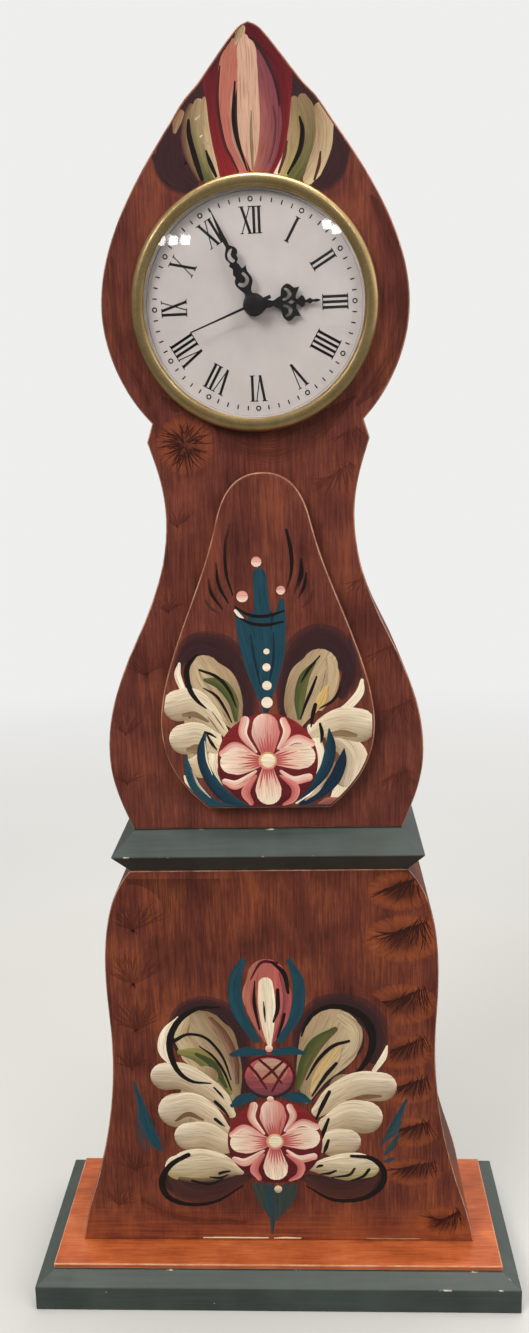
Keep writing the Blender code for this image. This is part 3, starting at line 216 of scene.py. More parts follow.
def combed(shader, tones, along, cross):
    """Combed oil glaze over wood: streaks run along one axis, and below the height cross they turn level."""
    dark, mid, light = tones
    stretch = [1.0, 1.0, 1.0]
    stretch[along] = COMB_LONG
    comb = shader.grains(0.6 * MM, stretch, detail=6.0, rough=0.66)
    band = shader.grains(5.0 * MM, [s ** 0.6 for s in stretch], detail=3.0, rough=0.5, shift=3.7)
    levelled = []
    if cross:
        level = shader.grains(0.9 * MM, (LEVEL_LONG, 1.0, 1.0), detail=6.0, rough=0.62, shift=1.3)
        height = shader.add("SeparateXYZ", {0: shader.spot}).outputs["Z"]
        ragged = shader.total((height, 1.0), (band, LEVEL_RAGGED))
        share = shader.fade(ragged, cross, cross + LEVEL_FADE, 1.0, 0.0)
        comb = shader.add("Mix", {0: share, 2: comb, 3: level}).outputs[0]
        levelled = [(share, 0.10)]
    cloud = shader.grains(17 * MM, (1.0, 1.0, 1.3), detail=5.0, rough=0.62, shift=8.1)
    bands = shader.math("SUBTRACT", band, 0.5)
    tone = shader.total((comb, 0.50), (cloud, 0.50), (bands, 0.22), *levelled)
    colour = shader.ramp(tone, (0.32, dark), (0.50, mid), (0.70, light))
    pores = shader.grains(0.22 * MM, [s ** 1.1 for s in stretch], detail=2.0, rough=0.5, shift=5.5)
    colour = shader.mix(shader.fade(pores, 0.60, 0.72, 0.0, 0.45), colour, linear(*dark))
    return colour, shader.total((comb, 1.0), (pores, 0.6)), cloud


def glazed_wood(name, tones, along=2, gloss=0.34, cross=0.0, worn_lit_edge=(206, 158, 128)):
    shader = Shader(name, coat_weight=0.14, coat_roughness=0.14, specular_ior_level=0.25)
    colour, relief, cloud = combed(shader, tones, along, cross)
    # Pale rounded edges: wear, and a painted highlight along the edges.
    edge = shader.read("edge")["Fac"]
    pale_edge = shader.fade(shader.grains(7.0 * MM, detail=6.0, rough=0.65, shift=2.2), 0.34, 0.62, 0.15, 0.85)
    colour = shader.mix(shader.math("MULTIPLY", edge, pale_edge), colour, linear(*worn_lit_edge))
    shader.set(base_color=colour, roughness=shader.fade(cloud, 0.3, 0.7, gloss - 0.05, gloss + 0.08))
    shader.bump(relief, 0.25, 0.08 * MM)
    return shader.material


def worn_paint(name, dark, mid, pale_mark):
    """Brushed grey-green paint with pale wear along its edges and small pale chips."""
    shader = Shader(name, coat_weight=0.08, coat_roughness=0.3, specular_ior_level=0.3)
    cloud = shader.grains(14 * MM)
    brush = shader.grains(0.7 * MM, (34.0, 1.0, 1.0), rough=0.6, shift=1.9)
    colour = shader.ramp(shader.total((cloud, 0.6), (brush, 0.4)), (0.30, dark), (0.70, mid))
    specks = shader.grains(1.6 * MM, detail=2.0, rough=0.4, shift=6.1)
    chip = shader.fade(specks, 0.815, 0.825)
    edge = shader.read("edge")["Fac"]
    pale_edge = shader.fade(shader.grains(6.0 * MM, detail=6.0, rough=0.7, shift=4.4), 0.61, 0.68)
    bare = shader.math("MAXIMUM", shader.math("MULTIPLY", edge, pale_edge), chip)
    shader.set(base_color=shader.mix(bare, colour, linear(*pale_mark)))
    shader.set(roughness=shader.fade(cloud, 0.3, 0.7, 0.38, 0.52))
    shader.bump(shader.total((brush, 0.5), (bare, -1.0)), 0.3, 0.09 * MM)
    return shader.material


def artist_paint(name, tones, cross=0.0):
    """Oil paint in brush strokes over glazed wood.

    The colour lies in the mesh and the bristle marks in the stroke's own map. Where a stroke's colour is
    thin, the wood's own pattern shows between the bristles, so a stroke can fade out.
    """
    shader = Shader(name, coat_weight=0.12, coat_roughness=0.16, specular_ior_level=0.22)
    wood, relief, cloud = combed(shader, tones, 2, cross)
    way = shader.add("UVMap", uv_map="brush").outputs["UV"]
    bristles = shader.grains(1.0, (9.0, 0.32, 1.0), rough=0.6, spot=way)
    load = shader.grains(1.0, (14.0, 1.3, 1.0), detail=2.0, rough=0.5, spot=way, shift=7.0)
    tint = shader.read("tint")
    deep = shader.mix(1.0, tint["Color"], linear(216, 206, 198), "MULTIPLY")
    pale = shader.mix(1.0, tint["Color"], (1.22, 1.22, 1.2, 1.0), "MULTIPLY")
    colour = shader.mix(shader.fade(bristles, 0.36, 0.50), deep, tint["Color"])
    colour = shader.mix(shader.fade(load, 0.54, 0.70, 0.0, 0.8), colour, pale)
    thick = shader.total((tint["Alpha"], 1.7), (shader.math("SUBTRACT", bristles, 0.85), 1.0))
    cover = shader.fade(thick, 0.22, 0.78)
    shader.set(base_color=shader.mix(cover, wood, colour))
    shader.set(roughness=shader.fade(cloud, 0.3, 0.7, 0.30, 0.42))
    marks = shader.math("MULTIPLY", bristles, cover)
    shader.bump(shader.total((marks, 1.0), (relief, 0.6)), 0.25, 0.06 * MM)
    return shader.material


def metal(name, low, high, rough, grain=(1.0, 1.0, 1.0), size=0.5 * MM, relief=0.12):
    shader = Shader(name, metallic=1.0)
    lines = shader.grains(size, grain, rough=0.6)
    cloud = shader.grains(9 * MM, detail=3.0, shift=2.5)
    tone = shader.total((lines, 0.35), (cloud, 0.65))
    shader.set(base_color=shader.ramp(tone, (0.32, low), (0.66, high)))
    shader.set(roughness=shader.fade(cloud, 0.3, 0.7, rough + 0.08, rough - 0.05))
    shader.bump(lines, relief, 0.02 * MM)
    return shader.material


def moulded(name, low, high, rough, size=0.35 * MM, relief=0.12):
    """Plain moulded plastic or rubber with a fine grain."""
    shader = Shader(name, specular_ior_level=0.3)
    grain = shader.grains(size, detail=3.0)
    cloud = shader.grains(11 * MM, detail=3.0, shift=1.1)
    shader.set(base_color=shader.ramp(cloud, (0.32, low), (0.68, high)))
    shader.set(roughness=shader.fade(cloud, 0.3, 0.7, rough - 0.05, rough + 0.06))
    shader.bump(grain, relief, 0.03 * MM)
    return shader.material


def clear_lens():
    shader = Shader("clear_crystal", base_color=(1.0, 1.0, 1.0, 1.0), transmission_weight=1.0, ior=1.45)
    haze = shader.grains(3.0 * MM)
    shader.set(roughness=shader.fade(haze, 0.45, 0.75, 0.0, 0.02))
    shadow = shader.add("LightPath").outputs["Is Shadow Ray"]
    open_way = shader.add("BsdfTransparent").outputs[0]
    shader.end(shader.either(shadow, shader.surface.outputs[0], open_way))
    return shader.material


UPPER_TONES = ((64, 32, 29), (103, 53, 44), (142, 77, 54))
LOWER_TONES = ((62, 31, 27), (107, 53, 41), (156, 84, 50))
STEP_TONES = ((124, 58, 32), (174, 88, 48), (204, 120, 74))
PINE_TONES = ((150, 116, 80), (186, 150, 108), (208, 176, 134))
LEVEL_BELOW = 24 * MM
GREEN = worn_paint("grey_green_paint", (54, 61, 58), (76, 84, 80), (190, 188, 172))
RED = glazed_wood("red_glaze_upper", UPPER_TONES)
RED_LOWER = glazed_wood("red_glaze_lower", LOWER_TONES, cross=LEVEL_BELOW)
STEP = glazed_wood("warm_glaze_level", STEP_TONES, along=0)
BARE = glazed_wood("bare_pine", PINE_TONES, gloss=0.6)
PAINT_UPPER = artist_paint("oil_paint_upper", UPPER_TONES)
PAINT_LOWER = artist_paint("oil_paint_lower", LOWER_TONES, LEVEL_BELOW)
BRASS = metal("aged_brass", (196, 164, 110), (240, 212, 156), 0.33, relief=0.02)
STEEL = metal("plated_steel", (150, 150, 148), (196, 196, 192), 0.3)
COPPER = metal("copper_wire", (150, 80, 48), (200, 118, 78), 0.3, (1.0, 8.0, 1.0))
JACKET = metal("cell_jacket", (60, 66, 74), (96, 104, 112), 0.35, (20.0, 1.0, 1.0))
INK = moulded("black_hand_paint", (11, 10, 10), (22, 20, 20), 0.22)
DIAL = moulded("dial_paper", (196, 188, 187), (206, 198, 197), 0.6, 0.2 * MM, 0.06)
BLACK_PLASTIC = moulded("black_plastic", (24, 24, 25), (38, 38, 40), 0.5)
WHITE_PLASTIC = moulded("white_plastic", (206, 204, 196), (224, 222, 214), 0.45)
RUBBER = moulded("rubber", (26, 26, 26), (40, 39, 38), 0.8, 0.5 * MM, 0.3)
BOARD = moulded("circuit_board", (22, 66, 40), (38, 92, 58), 0.4)
LENS = clear_lens()
SLOT_LOOKS = {
    "green_paint": GREEN, "red_glaze": RED, "step_glaze": STEP, "bare_wood": BARE, "steel": STEEL,
    "brass": BRASS, "clear_lens": LENS, "dial_white": DIAL, "black_plastic": BLACK_PLASTIC,
    "white_plastic": WHITE_PLASTIC, "black_metal": INK, "rubber": RUBBER, "copper": COPPER,
    "board_green": BOARD, "cell_jacket": JACKET,
}


def shown(name, mesh, look, body):
    """A new piece of the visual model, which rides on a body."""
    piece = bpy.data.objects.new(name, mesh)
    mesh.materials.append(look)
    bpy.context.scene.collection.objects.link(piece)
    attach(piece, body)
    return piece


WELD = 1e-6
FLAT_SOLID = math.radians(0.6)
FLAT_OUTLINE = math.radians(0.3)
SHARP = math.radians(24)
TURNED_SHARP = math.radians(35)


def solid_of(node, flat):
    """A CAD node's solid, without the cuts between faces that meet at less than the angle flat."""
    work = bmesh.new()
    work.from_mesh(NODES[node].data)
    bmesh.ops.remove_doubles(work, verts=work.verts, dist=WELD)
    bmesh.ops.dissolve_limit(work, angle_limit=flat, verts=work.verts, edges=work.edges)
    return work


def mesh_of(work, name, sharp=0.0):
    """A finished mesh: smooth where its faces meet at less than the angle sharp, or flat all over."""
    for face in work.faces:
        face.smooth = sharp > 0
    mesh = bpy.data.meshes.new(name)
    work.to_mesh(mesh)
    work.free()
    if sharp:
        mesh.set_sharp_from_angle(angle=sharp)
    return mesh


def pale_edge(work, faces):
    """Marks faces that turn pale, with 1 in the corner attribute edge: wear, and on glazed wood a painted
    highlight.
    """
    pale_mark = work.loops.layers.float.new("edge")
    for face in faces:
        for loop in face.loops:
            loop[pale_mark] = 1.0


def softened(node, work, name, sharp, look):
    """A piece of the case that stands in for a CAD node and has soft edges."""
    piece = shown(name, mesh_of(work, name, sharp), look, "case")
    piece.modifiers.new("even_shading", "WEIGHTED_NORMAL").keep_sharp = True
    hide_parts(node)


def dressed(node, slot, soft):
    """A copy of a CAD node with softened edges."""
    work = solid_of(node, FLAT_SOLID)
    edges = [e for e in work.edges if len(e.link_faces) == 2 and e.calc_face_angle() > SHARP]
    rounded = bmesh.ops.bevel(work, geom=edges, offset=soft, segments=3, profile=0.5, affect="EDGES",
                              clamp_overlap=True)
    pale_edge(work, rounded["faces"])
    softened(node, work, node + "_dressed", SHARP, SLOT_LOOKS[slot])


def turned(node, name, profile, slot, steps):
    """A closed ring or dome turned about the dial's axis from points of radius and height off the case."""
    work = bmesh.new()
    rings = []
    for radius, height in profile:
        turns = [2 * math.pi * i / steps for i in range(steps if radius > WELD / 10 else 1)]
        rings.append([work.verts.new(on_dial(radius * math.sin(a), radius * math.cos(a), height))
                      for a in turns])
    closed = len(rings[0]) > 1
    for ring, after in zip(rings, rings[1:] + rings[:1] * closed):
        for i in range(steps):
            j = (i + 1) % steps
            corners = [ring[k % len(ring)] for k in (i, j)] + [after[k % len(after)] for k in (j, i)]
            corners = list(dict.fromkeys(corners))
            if len(corners) > 2:
                work.faces.new(corners)
    bmesh.ops.recalc_face_normals(work, faces=work.faces)
    piece = shown(name, mesh_of(work, name, TURNED_SHARP), SLOT_LOOKS[slot], "insert")
    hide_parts(node)


DIAL_LOW, DIAL_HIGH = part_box("dial")
DIAL_SPOT = (DIAL_LOW + DIAL_HIGH) / 2
DIAL_FACE_Y = DIAL_LOW.y
BEZEL_LOW, BEZEL_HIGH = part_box("bezel")
BEZEL_R = (BEZEL_HIGH.x - BEZEL_LOW.x) / 2
CASE_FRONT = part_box("upper_case")[0].y
DOOR_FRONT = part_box("door_panel")[0].y
CORNER = math.radians(32)
CURVE_CUTS = 4
MITRE_LEAST = 0.5
ROUND_STEPS = 6
# Rings of a board's rounded edge that turn pale: wear, and a painted highlight along the edge.
WORN_AND_LIT_RINGS = (2, 3)
BORE_STEPS = 96

# How far the boards' edges are rounded, in millimetres.
CASE_ROUND = 0.7
DOOR_ROUND = 0.9


def on_dial(across, up, height):
    """A place in the frame from one on the dial, where height counts forward from the case's front."""
    return (DIAL_SPOT.x + across, CASE_FRONT - height, DIAL_SPOT.z + up)


def off_dial(spot):
    return math.hypot(spot.x - DIAL_SPOT.x, spot.z - DIAL_SPOT.z)


def outline_of(node):
    """A board's outline, counter-clockwise from the front, read off the long edges through its thickness."""
    low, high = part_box(node)
    work = solid_of(node, FLAT_OUTLINE)
    links = {}
    for face in work.faces:
        ends = []
        for edge in face.edges:
            first, last = (v.co for v in edge.verts)
            step = first - last
            straight = math.hypot(step.x, step.z) < 10 * WELD
            if abs(step.y) > (high.y - low.y) / 2 and straight and off_dial(first) > BEZEL_R:
                ends.append((round(first.x, 6), round(first.z, 6)))
        if len(ends) == 2:
            links.setdefault(ends[0], []).append(ends[1])
            links.setdefault(ends[1], []).append(ends[0])
    work.free()
    path = [next((k for k, v in links.items() if len(v) == 1), next(iter(links)))]
    following = links[path[0]]
    while following:
        path.append(following[0])
        following = [k for k in links[path[-1]] if k not in path]
    spots = np.array(path)
    around = np.roll(spots, -1, 0)
    area = np.sum(spots[:, 0] * around[:, 1] - around[:, 0] * spots[:, 1])
    return spots if area > 0 else spots[::-1]


def smooth_outline(node):
    """A board's outline drawn as smooth curves between its corners."""
    spots = outline_of(node)
    count = len(spots)
    steps = np.roll(spots, -1, 0) - spots
    lengths = np.linalg.norm(steps, axis=1)
    ways = steps / lengths[:, None]
    turns = np.arccos(np.clip(np.sum(ways * np.roll(ways, 1, 0), axis=1), -1, 1))
    curve = []
    for i in range(count):
        leans = []
        for k in (i, (i + 1) % count):
            mean = ways[k - 1] * lengths[k] + ways[k] * lengths[k - 1]
            leans.append(ways[i] if turns[k] > CORNER else unit(mean))
        first, last = spots[i], spots[(i + 1) % count]
        for t in np.arange(CURVE_CUTS) / CURVE_CUTS:
            pull = leans[0] * (t - 2 * t * t + t ** 3) + leans[1] * (t ** 3 - t * t)
            curve.append(first + (last - first) * (3 * t * t - 2 * t ** 3) + pull * lengths[i])
    return np.array(curve)


def inset(curve, depth):
    """A counter-clockwise outline drawn in by a small depth."""
    ahead = np.roll(curve, -1, 0) - curve
    ahead /= np.linalg.norm(ahead, axis=1)[:, None]
    inward = np.column_stack([-ahead[:, 1], ahead[:, 0]])
    mean = inward + np.roll(inward, 1, 0)
    mean /= np.linalg.norm(mean, axis=1)[:, None]
    share = np.maximum(np.sum(mean * inward, axis=1), MITRE_LEAST)
    return curve + mean * (depth / share)[:, None]


def board(node, look, rounding, bored=False):
    """A board with the CAD node's outline, smooth between its corners, and rounded edges."""
    low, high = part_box(node)
    curve = smooth_outline(node)
    work = bmesh.new()
    turns = [math.pi / 2 * i / ROUND_STEPS for i in range(ROUND_STEPS + 1)]
    front = [(rounding * (1 - math.sin(a)), low.y + rounding * (1 - math.cos(a))) for a in turns]
    back = [(depth, low.y + high.y - y) for depth, y in reversed(front)]
    rings = []
    for depth, y in front + back:
        rings.append([work.verts.new((x, y, z)) for x, z in inset(curve, depth)])
    # Faces that turn pale: wear, and a painted highlight along the edge.
    worn_lit_edge = []
    for k, (near, far) in enumerate(zip(rings, rings[1:])):
        for i in range(len(near)):
            j = (i + 1) % len(near)
            face = work.faces.new((near[i], near[j], far[j], far[i]))
            if k in WORN_AND_LIT_RINGS:
                worn_lit_edge.append(face)
    pale_edge(work, worn_lit_edge)
    bores = [[], []]
    if bored:
        radius = max(off_dial(v.co) for v in NODES[node].data.vertices if off_dial(v.co) < BEZEL_R)
        turns = [2 * math.pi * i / BORE_STEPS for i in range(BORE_STEPS)]
        for bore, y in zip(bores, (low.y, high.y)):
            bore += [work.verts.new(on_dial(radius * math.cos(a), radius * math.sin(a), CASE_FRONT - y))
                     for a in turns]
        for i in range(BORE_STEPS):
            j = (i + 1) % BORE_STEPS
            work.faces.new((bores[0][i], bores[0][j], bores[1][j], bores[1][i]))
    for ring, bore in zip((rings[0], rings[-1]), bores):
        loops = [loop for loop in (ring, bore) if loop]
        rim = [work.edges.get((v, w)) or work.edges.new((v, w)) for loop in loops
               for v, w in zip(loop, loop[1:] + loop[:1])]
        bmesh.ops.triangle_fill(work, edges=rim, use_beauty=True)
    bmesh.ops.recalc_face_normals(work, faces=work.faces)
    softened(node, work, node + "_board", CORNER, look)


# Painting.

FILM = 0.02 * MM
FILM_STEP = 0.001 * MM
FILM_ROOT = 0.03 * MM
LEAST_EDGE = 0.0005 * MM
STROKE_STEPS = 22
HAIR_STEPS = 8
CAP_STEPS = 4
CAP_START = 0.6
HAIR = 0.03
ACROSS = (-1.0, -0.5, 0.0, 0.5, 1.0)
BLOB_END = 0.03
GRAIN_LEVELS = 18

# Each film reads the bristle marks at a place of its own, so many millimetres along and across.
MARKS_ALONG = 61.0
MARKS_ACROSS = 23.0

# A patch of glaze: reach, share of the rim's colour, cover.
PATCH_STEPS = 36
PATCH_MARKS = 0.6
PATCH_MIDDLE = (0.0, 0.0, 0.55)
PATCH_RINGS = ((0.3, 0.2, 0.56), (0.5, 0.7, 0.56), (0.68, 1.0, 0.54), (0.84, 1.0, 0.45), (1.0, 1.0, 0.0))


class Sheet:
    """The paint on one panel: each stroke is a thin closed film, laid over the ones before it."""

    def __init__(self, front, held, first=0):
        self.front = front
        self.held = held
        self.points, self.faces, self.tints, self.ways = [], [], [], []
        self.count = first

    def depths(self):
        """How deep the next film's face and its root lie."""
        return self.front - FILM - FILM_STEP * self.count, self.front + FILM_ROOT

    def lay(self, tints, spots, halves):
        """Tints are one, two or three across, or four or six: those at the start, then those at the end."""
        names = tints.split()
        if len(names) < 4:
            names = names * 2
        colours = np.array([paint_of(name) for name in names]).reshape(2, -1, 4)
        places = np.linspace(-1.0, 1.0, len(colours[0]))
        steps = np.vstack([spots[1] - spots[0], spots[2:] - spots[:-2], spots[-1] - spots[-2]])
        steps /= np.maximum(np.linalg.norm(steps, axis=1), 1e-9)[:, None]
        lefts = np.column_stack([-steps[:, 1], steps[:, 0]])
        run = np.concatenate([[0.0], np.cumsum(np.linalg.norm(np.diff(spots, axis=0), axis=1))])
        top, root = self.depths()
        rows = [(v, top) for v in ACROSS] + [(1.0, root), (-1.0, root)]
        first = len(self.points)
        ring = len(rows)
        for k, (spot, left, half) in enumerate(zip(spots, lefts, halves)):
            t = run[k] / run[-1]
            for v, y in rows:
                x, z = self.held(*(spot - left * v * half))
                self.points.append((x * MM, y, z * MM))
                tint = colours[0] * (1 - t) + colours[1] * t
                self.tints.append([np.interp(v, places, part) for part in tint.T])
                self.ways.append((run[k] + MARKS_ALONG * self.count, v * half + MARKS_ACROSS * self.count))
        for k in range(len(spots) - 1):
            a, b = first + k * ring, first + (k + 1) * ring
            for i in range(ring):
                j = (i + 1) % ring
                self.faces.append((a + i, a + j, b + j, b + i))
        last = first + (len(spots) - 1) * ring
        self.faces += [tuple(range(first + ring - 1, first - 1, -1)), tuple(range(last, last + ring))]
        self.count += 1

    def stroke(self, tints, *points, steps=STROKE_STEPS):
        """A brush stroke through points of place and half width, with rounded ends."""
        path = spline(points, steps)
        spots, halves = path[:, :2], np.maximum(path[:, 2], HAIR)
        head = unit(spots[0] - spots[1]) * halves[0]
        tail = unit(spots[-1] - spots[-2]) * halves[-1]
        turns = [math.pi / 2 * (i + CAP_START) / (CAP_STEPS + CAP_START) for i in range(CAP_STEPS)]
        heads = [spots[0] + head * math.cos(a) for a in turns]
        tails = [spots[-1] + tail * math.cos(a) for a in reversed(turns)]
        caps = np.array([math.sin(a) for a in turns])
        self.lay(tints, np.vstack([heads, spots, tails]),
                 np.concatenate([caps * halves[0], halves, caps[::-1] * halves[-1]]))

    def blob(self, tints, x, z, wide, high=None):
        """A round or oval dab."""
        turns = np.linspace(BLOB_END, math.pi - BLOB_END, 2 * STROKE_STEPS)
        spots = np.column_stack([x - wide * np.cos(turns), np.full(len(turns), z)])
        self.lay(tints, spots, (high or wide) * np.sin(turns))

    def patch(self, core, rim, x, z, wide, high, strength):
        """An oval of thin glaze: dark in the middle, brighter outwards, and gone at its edge."""
        core, rim = paint_of(core), paint_of(rim)
        first = len(self.points)
        top, root = self.depths()
        rows = [(ring, top) for ring in (PATCH_MIDDLE,) + PATCH_RINGS] + [(PATCH_RINGS[-1], root)]
        for (reach, share, cover), y in rows:
            colour = (core * (1 - share) + rim * share) * (1, 1, 1, cover * strength)
            for i in range(PATCH_STEPS if reach else 1):
                a = 2 * math.pi * i / PATCH_STEPS
                spot = self.held(x + wide * reach * math.cos(a), z + high * reach * math.sin(a))
                self.points.append((spot[0] * MM, y, spot[1] * MM))
                self.tints.append(colour)
                self.ways.append((reach * wide + MARKS_ALONG * self.count, PATCH_MARKS * i))
        for i in range(PATCH_STEPS):
            j = (i + 1) % PATCH_STEPS
            self.faces.append((first, first + 1 + i, first + 1 + j))
            for k in range(len(PATCH_RINGS)):
                near = first + 1 + k * PATCH_STEPS
                far = near + PATCH_STEPS
                self.faces.append((near + i, far + i, far + j, near + j))
        last = first + 1 + len(PATCH_RINGS) * PATCH_STEPS
        self.faces.append(tuple(range(last, last + PATCH_STEPS)))
        self.count += 1

    def paint(self, rows):
        for row in rows:
            self.stroke(*row)

    def dab(self, rows):
        for row in rows:
            self.blob(*row)

    def finish(self, name, look):
        mesh = bpy.data.meshes.new(name)
        mesh.from_pydata(self.points, [], self.faces)
        tint = mesh.attributes.new("tint", "FLOAT_COLOR", "POINT")
        tint.data.foreach_set("color", np.array(self.tints, np.float32).ravel())
        brush = mesh.uv_layers.new(name="brush")
        corners = np.zeros(len(mesh.loops), np.int32)
        mesh.loops.foreach_get("vertex_index", corners)
        brush.data.foreach_set("uv", np.array(self.ways, np.float32)[corners].ravel())
        work = bmesh.new()
        work.from_mesh(mesh)
        bmesh.ops.dissolve_degenerate(work, dist=LEAST_EDGE, edges=work.edges)
        bmesh.ops.recalc_face_normals(work, faces=work.faces)
        work.to_mesh(mesh)
        work.free()
        shown(name, mesh, look, "case")


def paint_of(name):
    """A paint's linear colour and cover: - before its name is none, and ~ is half."""
    cover = {"-": 0.0, "~": 0.5}.get(name[0], 1.0)
    return np.array(linear(*PAINTS[name.lstrip("-~")])) * (1.0, 1.0, 1.0, cover)


def unit(step):
    return step / max(np.linalg.norm(step), 1e-9)


def spline(points, count):
    """A smooth curve through rows of numbers."""
    rows = np.array(points, float)
    spans = len(rows) - 1
    rows = np.vstack([2 * rows[0] - rows[1], rows, 2 * rows[-1] - rows[-2]])
    curve = []
    for i in range(count + 1):
        k = min(int(spans * i / count), spans - 1)
        t = spans * i / count - k
        a, b, c, d = rows[k:k + 4]
        curve.append(b + 0.5 * t * (c - a + t * (2 * a - 5 * b + 4 * c - d + t * (3 * (b - c) + d - a))))
    return np.array(curve)


TIP_ROOM = 0.01


def face_of(node, depth):
    """A function that holds a place inside a board's flat front; lengths are millimetres."""
    curve = inset(smooth_outline(node), depth * MM) / MM
    after = np.roll(curve, -1, 0)
    low, high = curve[:, 1].min() + TIP_ROOM, curve[:, 1].max() - TIP_ROOM

    def held(x, z):
        z = min(max(z, low), high)
        crossed = np.flatnonzero((curve[:, 1] - z) * (after[:, 1] - z) <= 0)
        first, last = curve[crossed], after[crossed]
        share = (z - first[:, 1]) / np.where(last[:, 1] == first[:, 1], 1.0, last[:, 1] - first[:, 1])
        sides = first[:, 0] + share * (last[:, 0] - first[:, 0])
        return min(max(x, sides.min()), sides.max()), z

    return held


def moved(rows, across, up, size=1.0):
    """Painted rows drawn about a middle point, put in their place."""
    return [(tints, *[(across + x * size, up + z * size, half * size) for x, z, half in points])
            for tints, *points in rows]


ROSE_PETALS = [
    ("rose rose blush pink", (0, 1.6, 1.5), (-0.2, 5, 3), (-0.4, 8.2, 4.1), (-0.5, 10.6, 3.8)),
    ("pink pink white white", (-1.6, 0, 1.4), (-5, -0.2, 2.8), (-8.5, -0.4, 3.7), (-10.6, -0.4, 3.5)),
    ("pink pink white white", (1.6, 0.2, 1.4), (5, 0.8, 2.9), (8.5, 1.2, 3.9), (10.4, 1.3, 3.7)),
    ("pink pink white white", (0, -1.6, 1.4), (-0.1, -5, 2.7), (0, -8.4, 3.8), (0.1, -9.8, 3.7)),
]
ROSE_COMMAS = [
    ("pink blush pink blush", (-3.4, 2.8, 0.4), (-7, 8, 1.2), (-6.4, 12.4, 1.3)),
    ("blush pink blush pink", (-3.6, 1.8, 0.4), (-9.2, 4.6, 1.3), (-13.2, 2.4, 1.1)),
    ("blush pink blush pink", (3.2, 3.8, 0.4), (5.8, 8.6, 1.1), (4.8, 12.2, 1)),
    ("pink blush pink blush", (3.8, 3.6, 0.4), (8.5, 6.6, 1.2), (12.9, 5.2, 1.1)),
    ("blush pink blush pink", (3.8, -3.2, 0.4), (7.4, -6, 1.2), (12, -5.2, 1.2)),
    ("pink rose pink rose", (3.6, -4.6, 0.3), (7.8, -8, 1.2), (7.4, -11.6, 1), (4.4, -13.6, 0.4)),
    ("pink blush pink blush", (-3.6, -3.2, 0.4), (-9.2, -7.2, 1.4), (-12.8, -6.2, 0.9)),
    ("rose pink rose pink", (-3.6, -4.6, 0.4), (-6.7, -9.4, 1.3), (-5.2, -12.9, 0.8)),
]


ROSE_DISC = (14.8, 14.4)
ROSE_EYE = (2.7, 2.1)
ROSE_EYE_SHIFT = 0.1
STREAK_PLACES = (-0.75, -0.45, -0.15, 0.15, 0.45, 0.75)
STREAK_FAR = (5.5, 9.0)
STREAK_NEAR = 1.6
STREAK_MIDDLE = 0.6
STREAK_HALVES = (0.3, 0.26, 0.05)
PETAL_SPREAD = (0.9, 0.33)

# Each rose's middle and size.
DOOR_ROSE = (0.8, 182.6, 1.03)
LOWER_ROSE = (0.0, 50.4, 1.06)


def rose(sheet, across, up, size, chance):
    sheet.blob("crimson wine", across, up, *(r * size for r in ROSE_DISC))
    sheet.paint(moved(ROSE_COMMAS, across, up, size))
    for row in ROSE_PETALS:
        sheet.paint(moved([row], across, up, size))
        root, tip = np.array(row[1][:2]), np.array(row[-1][:2])
        way = unit(tip - root)
        side = np.array([-way[1], way[0]])
        for place in STREAK_PLACES:
            far = chance.uniform(*STREAK_FAR)
            spots = [way * out + side * place * (PETAL_SPREAD[0] + PETAL_SPREAD[1] * out)
                     for out in (STREAK_NEAR, far * STREAK_MIDDLE, far)]
            ends = [(*spot, half) for spot, half in zip(spots, STREAK_HALVES)]
            sheet.paint(moved([("rose", *ends)], across, up, size))
    sheet.blob("yellow pink", across, up, ROSE_EYE[0] * size)
    sheet.blob("white cream", across + ROSE_EYE_SHIFT, up + ROSE_EYE_SHIFT, ROSE_EYE[1] * size)


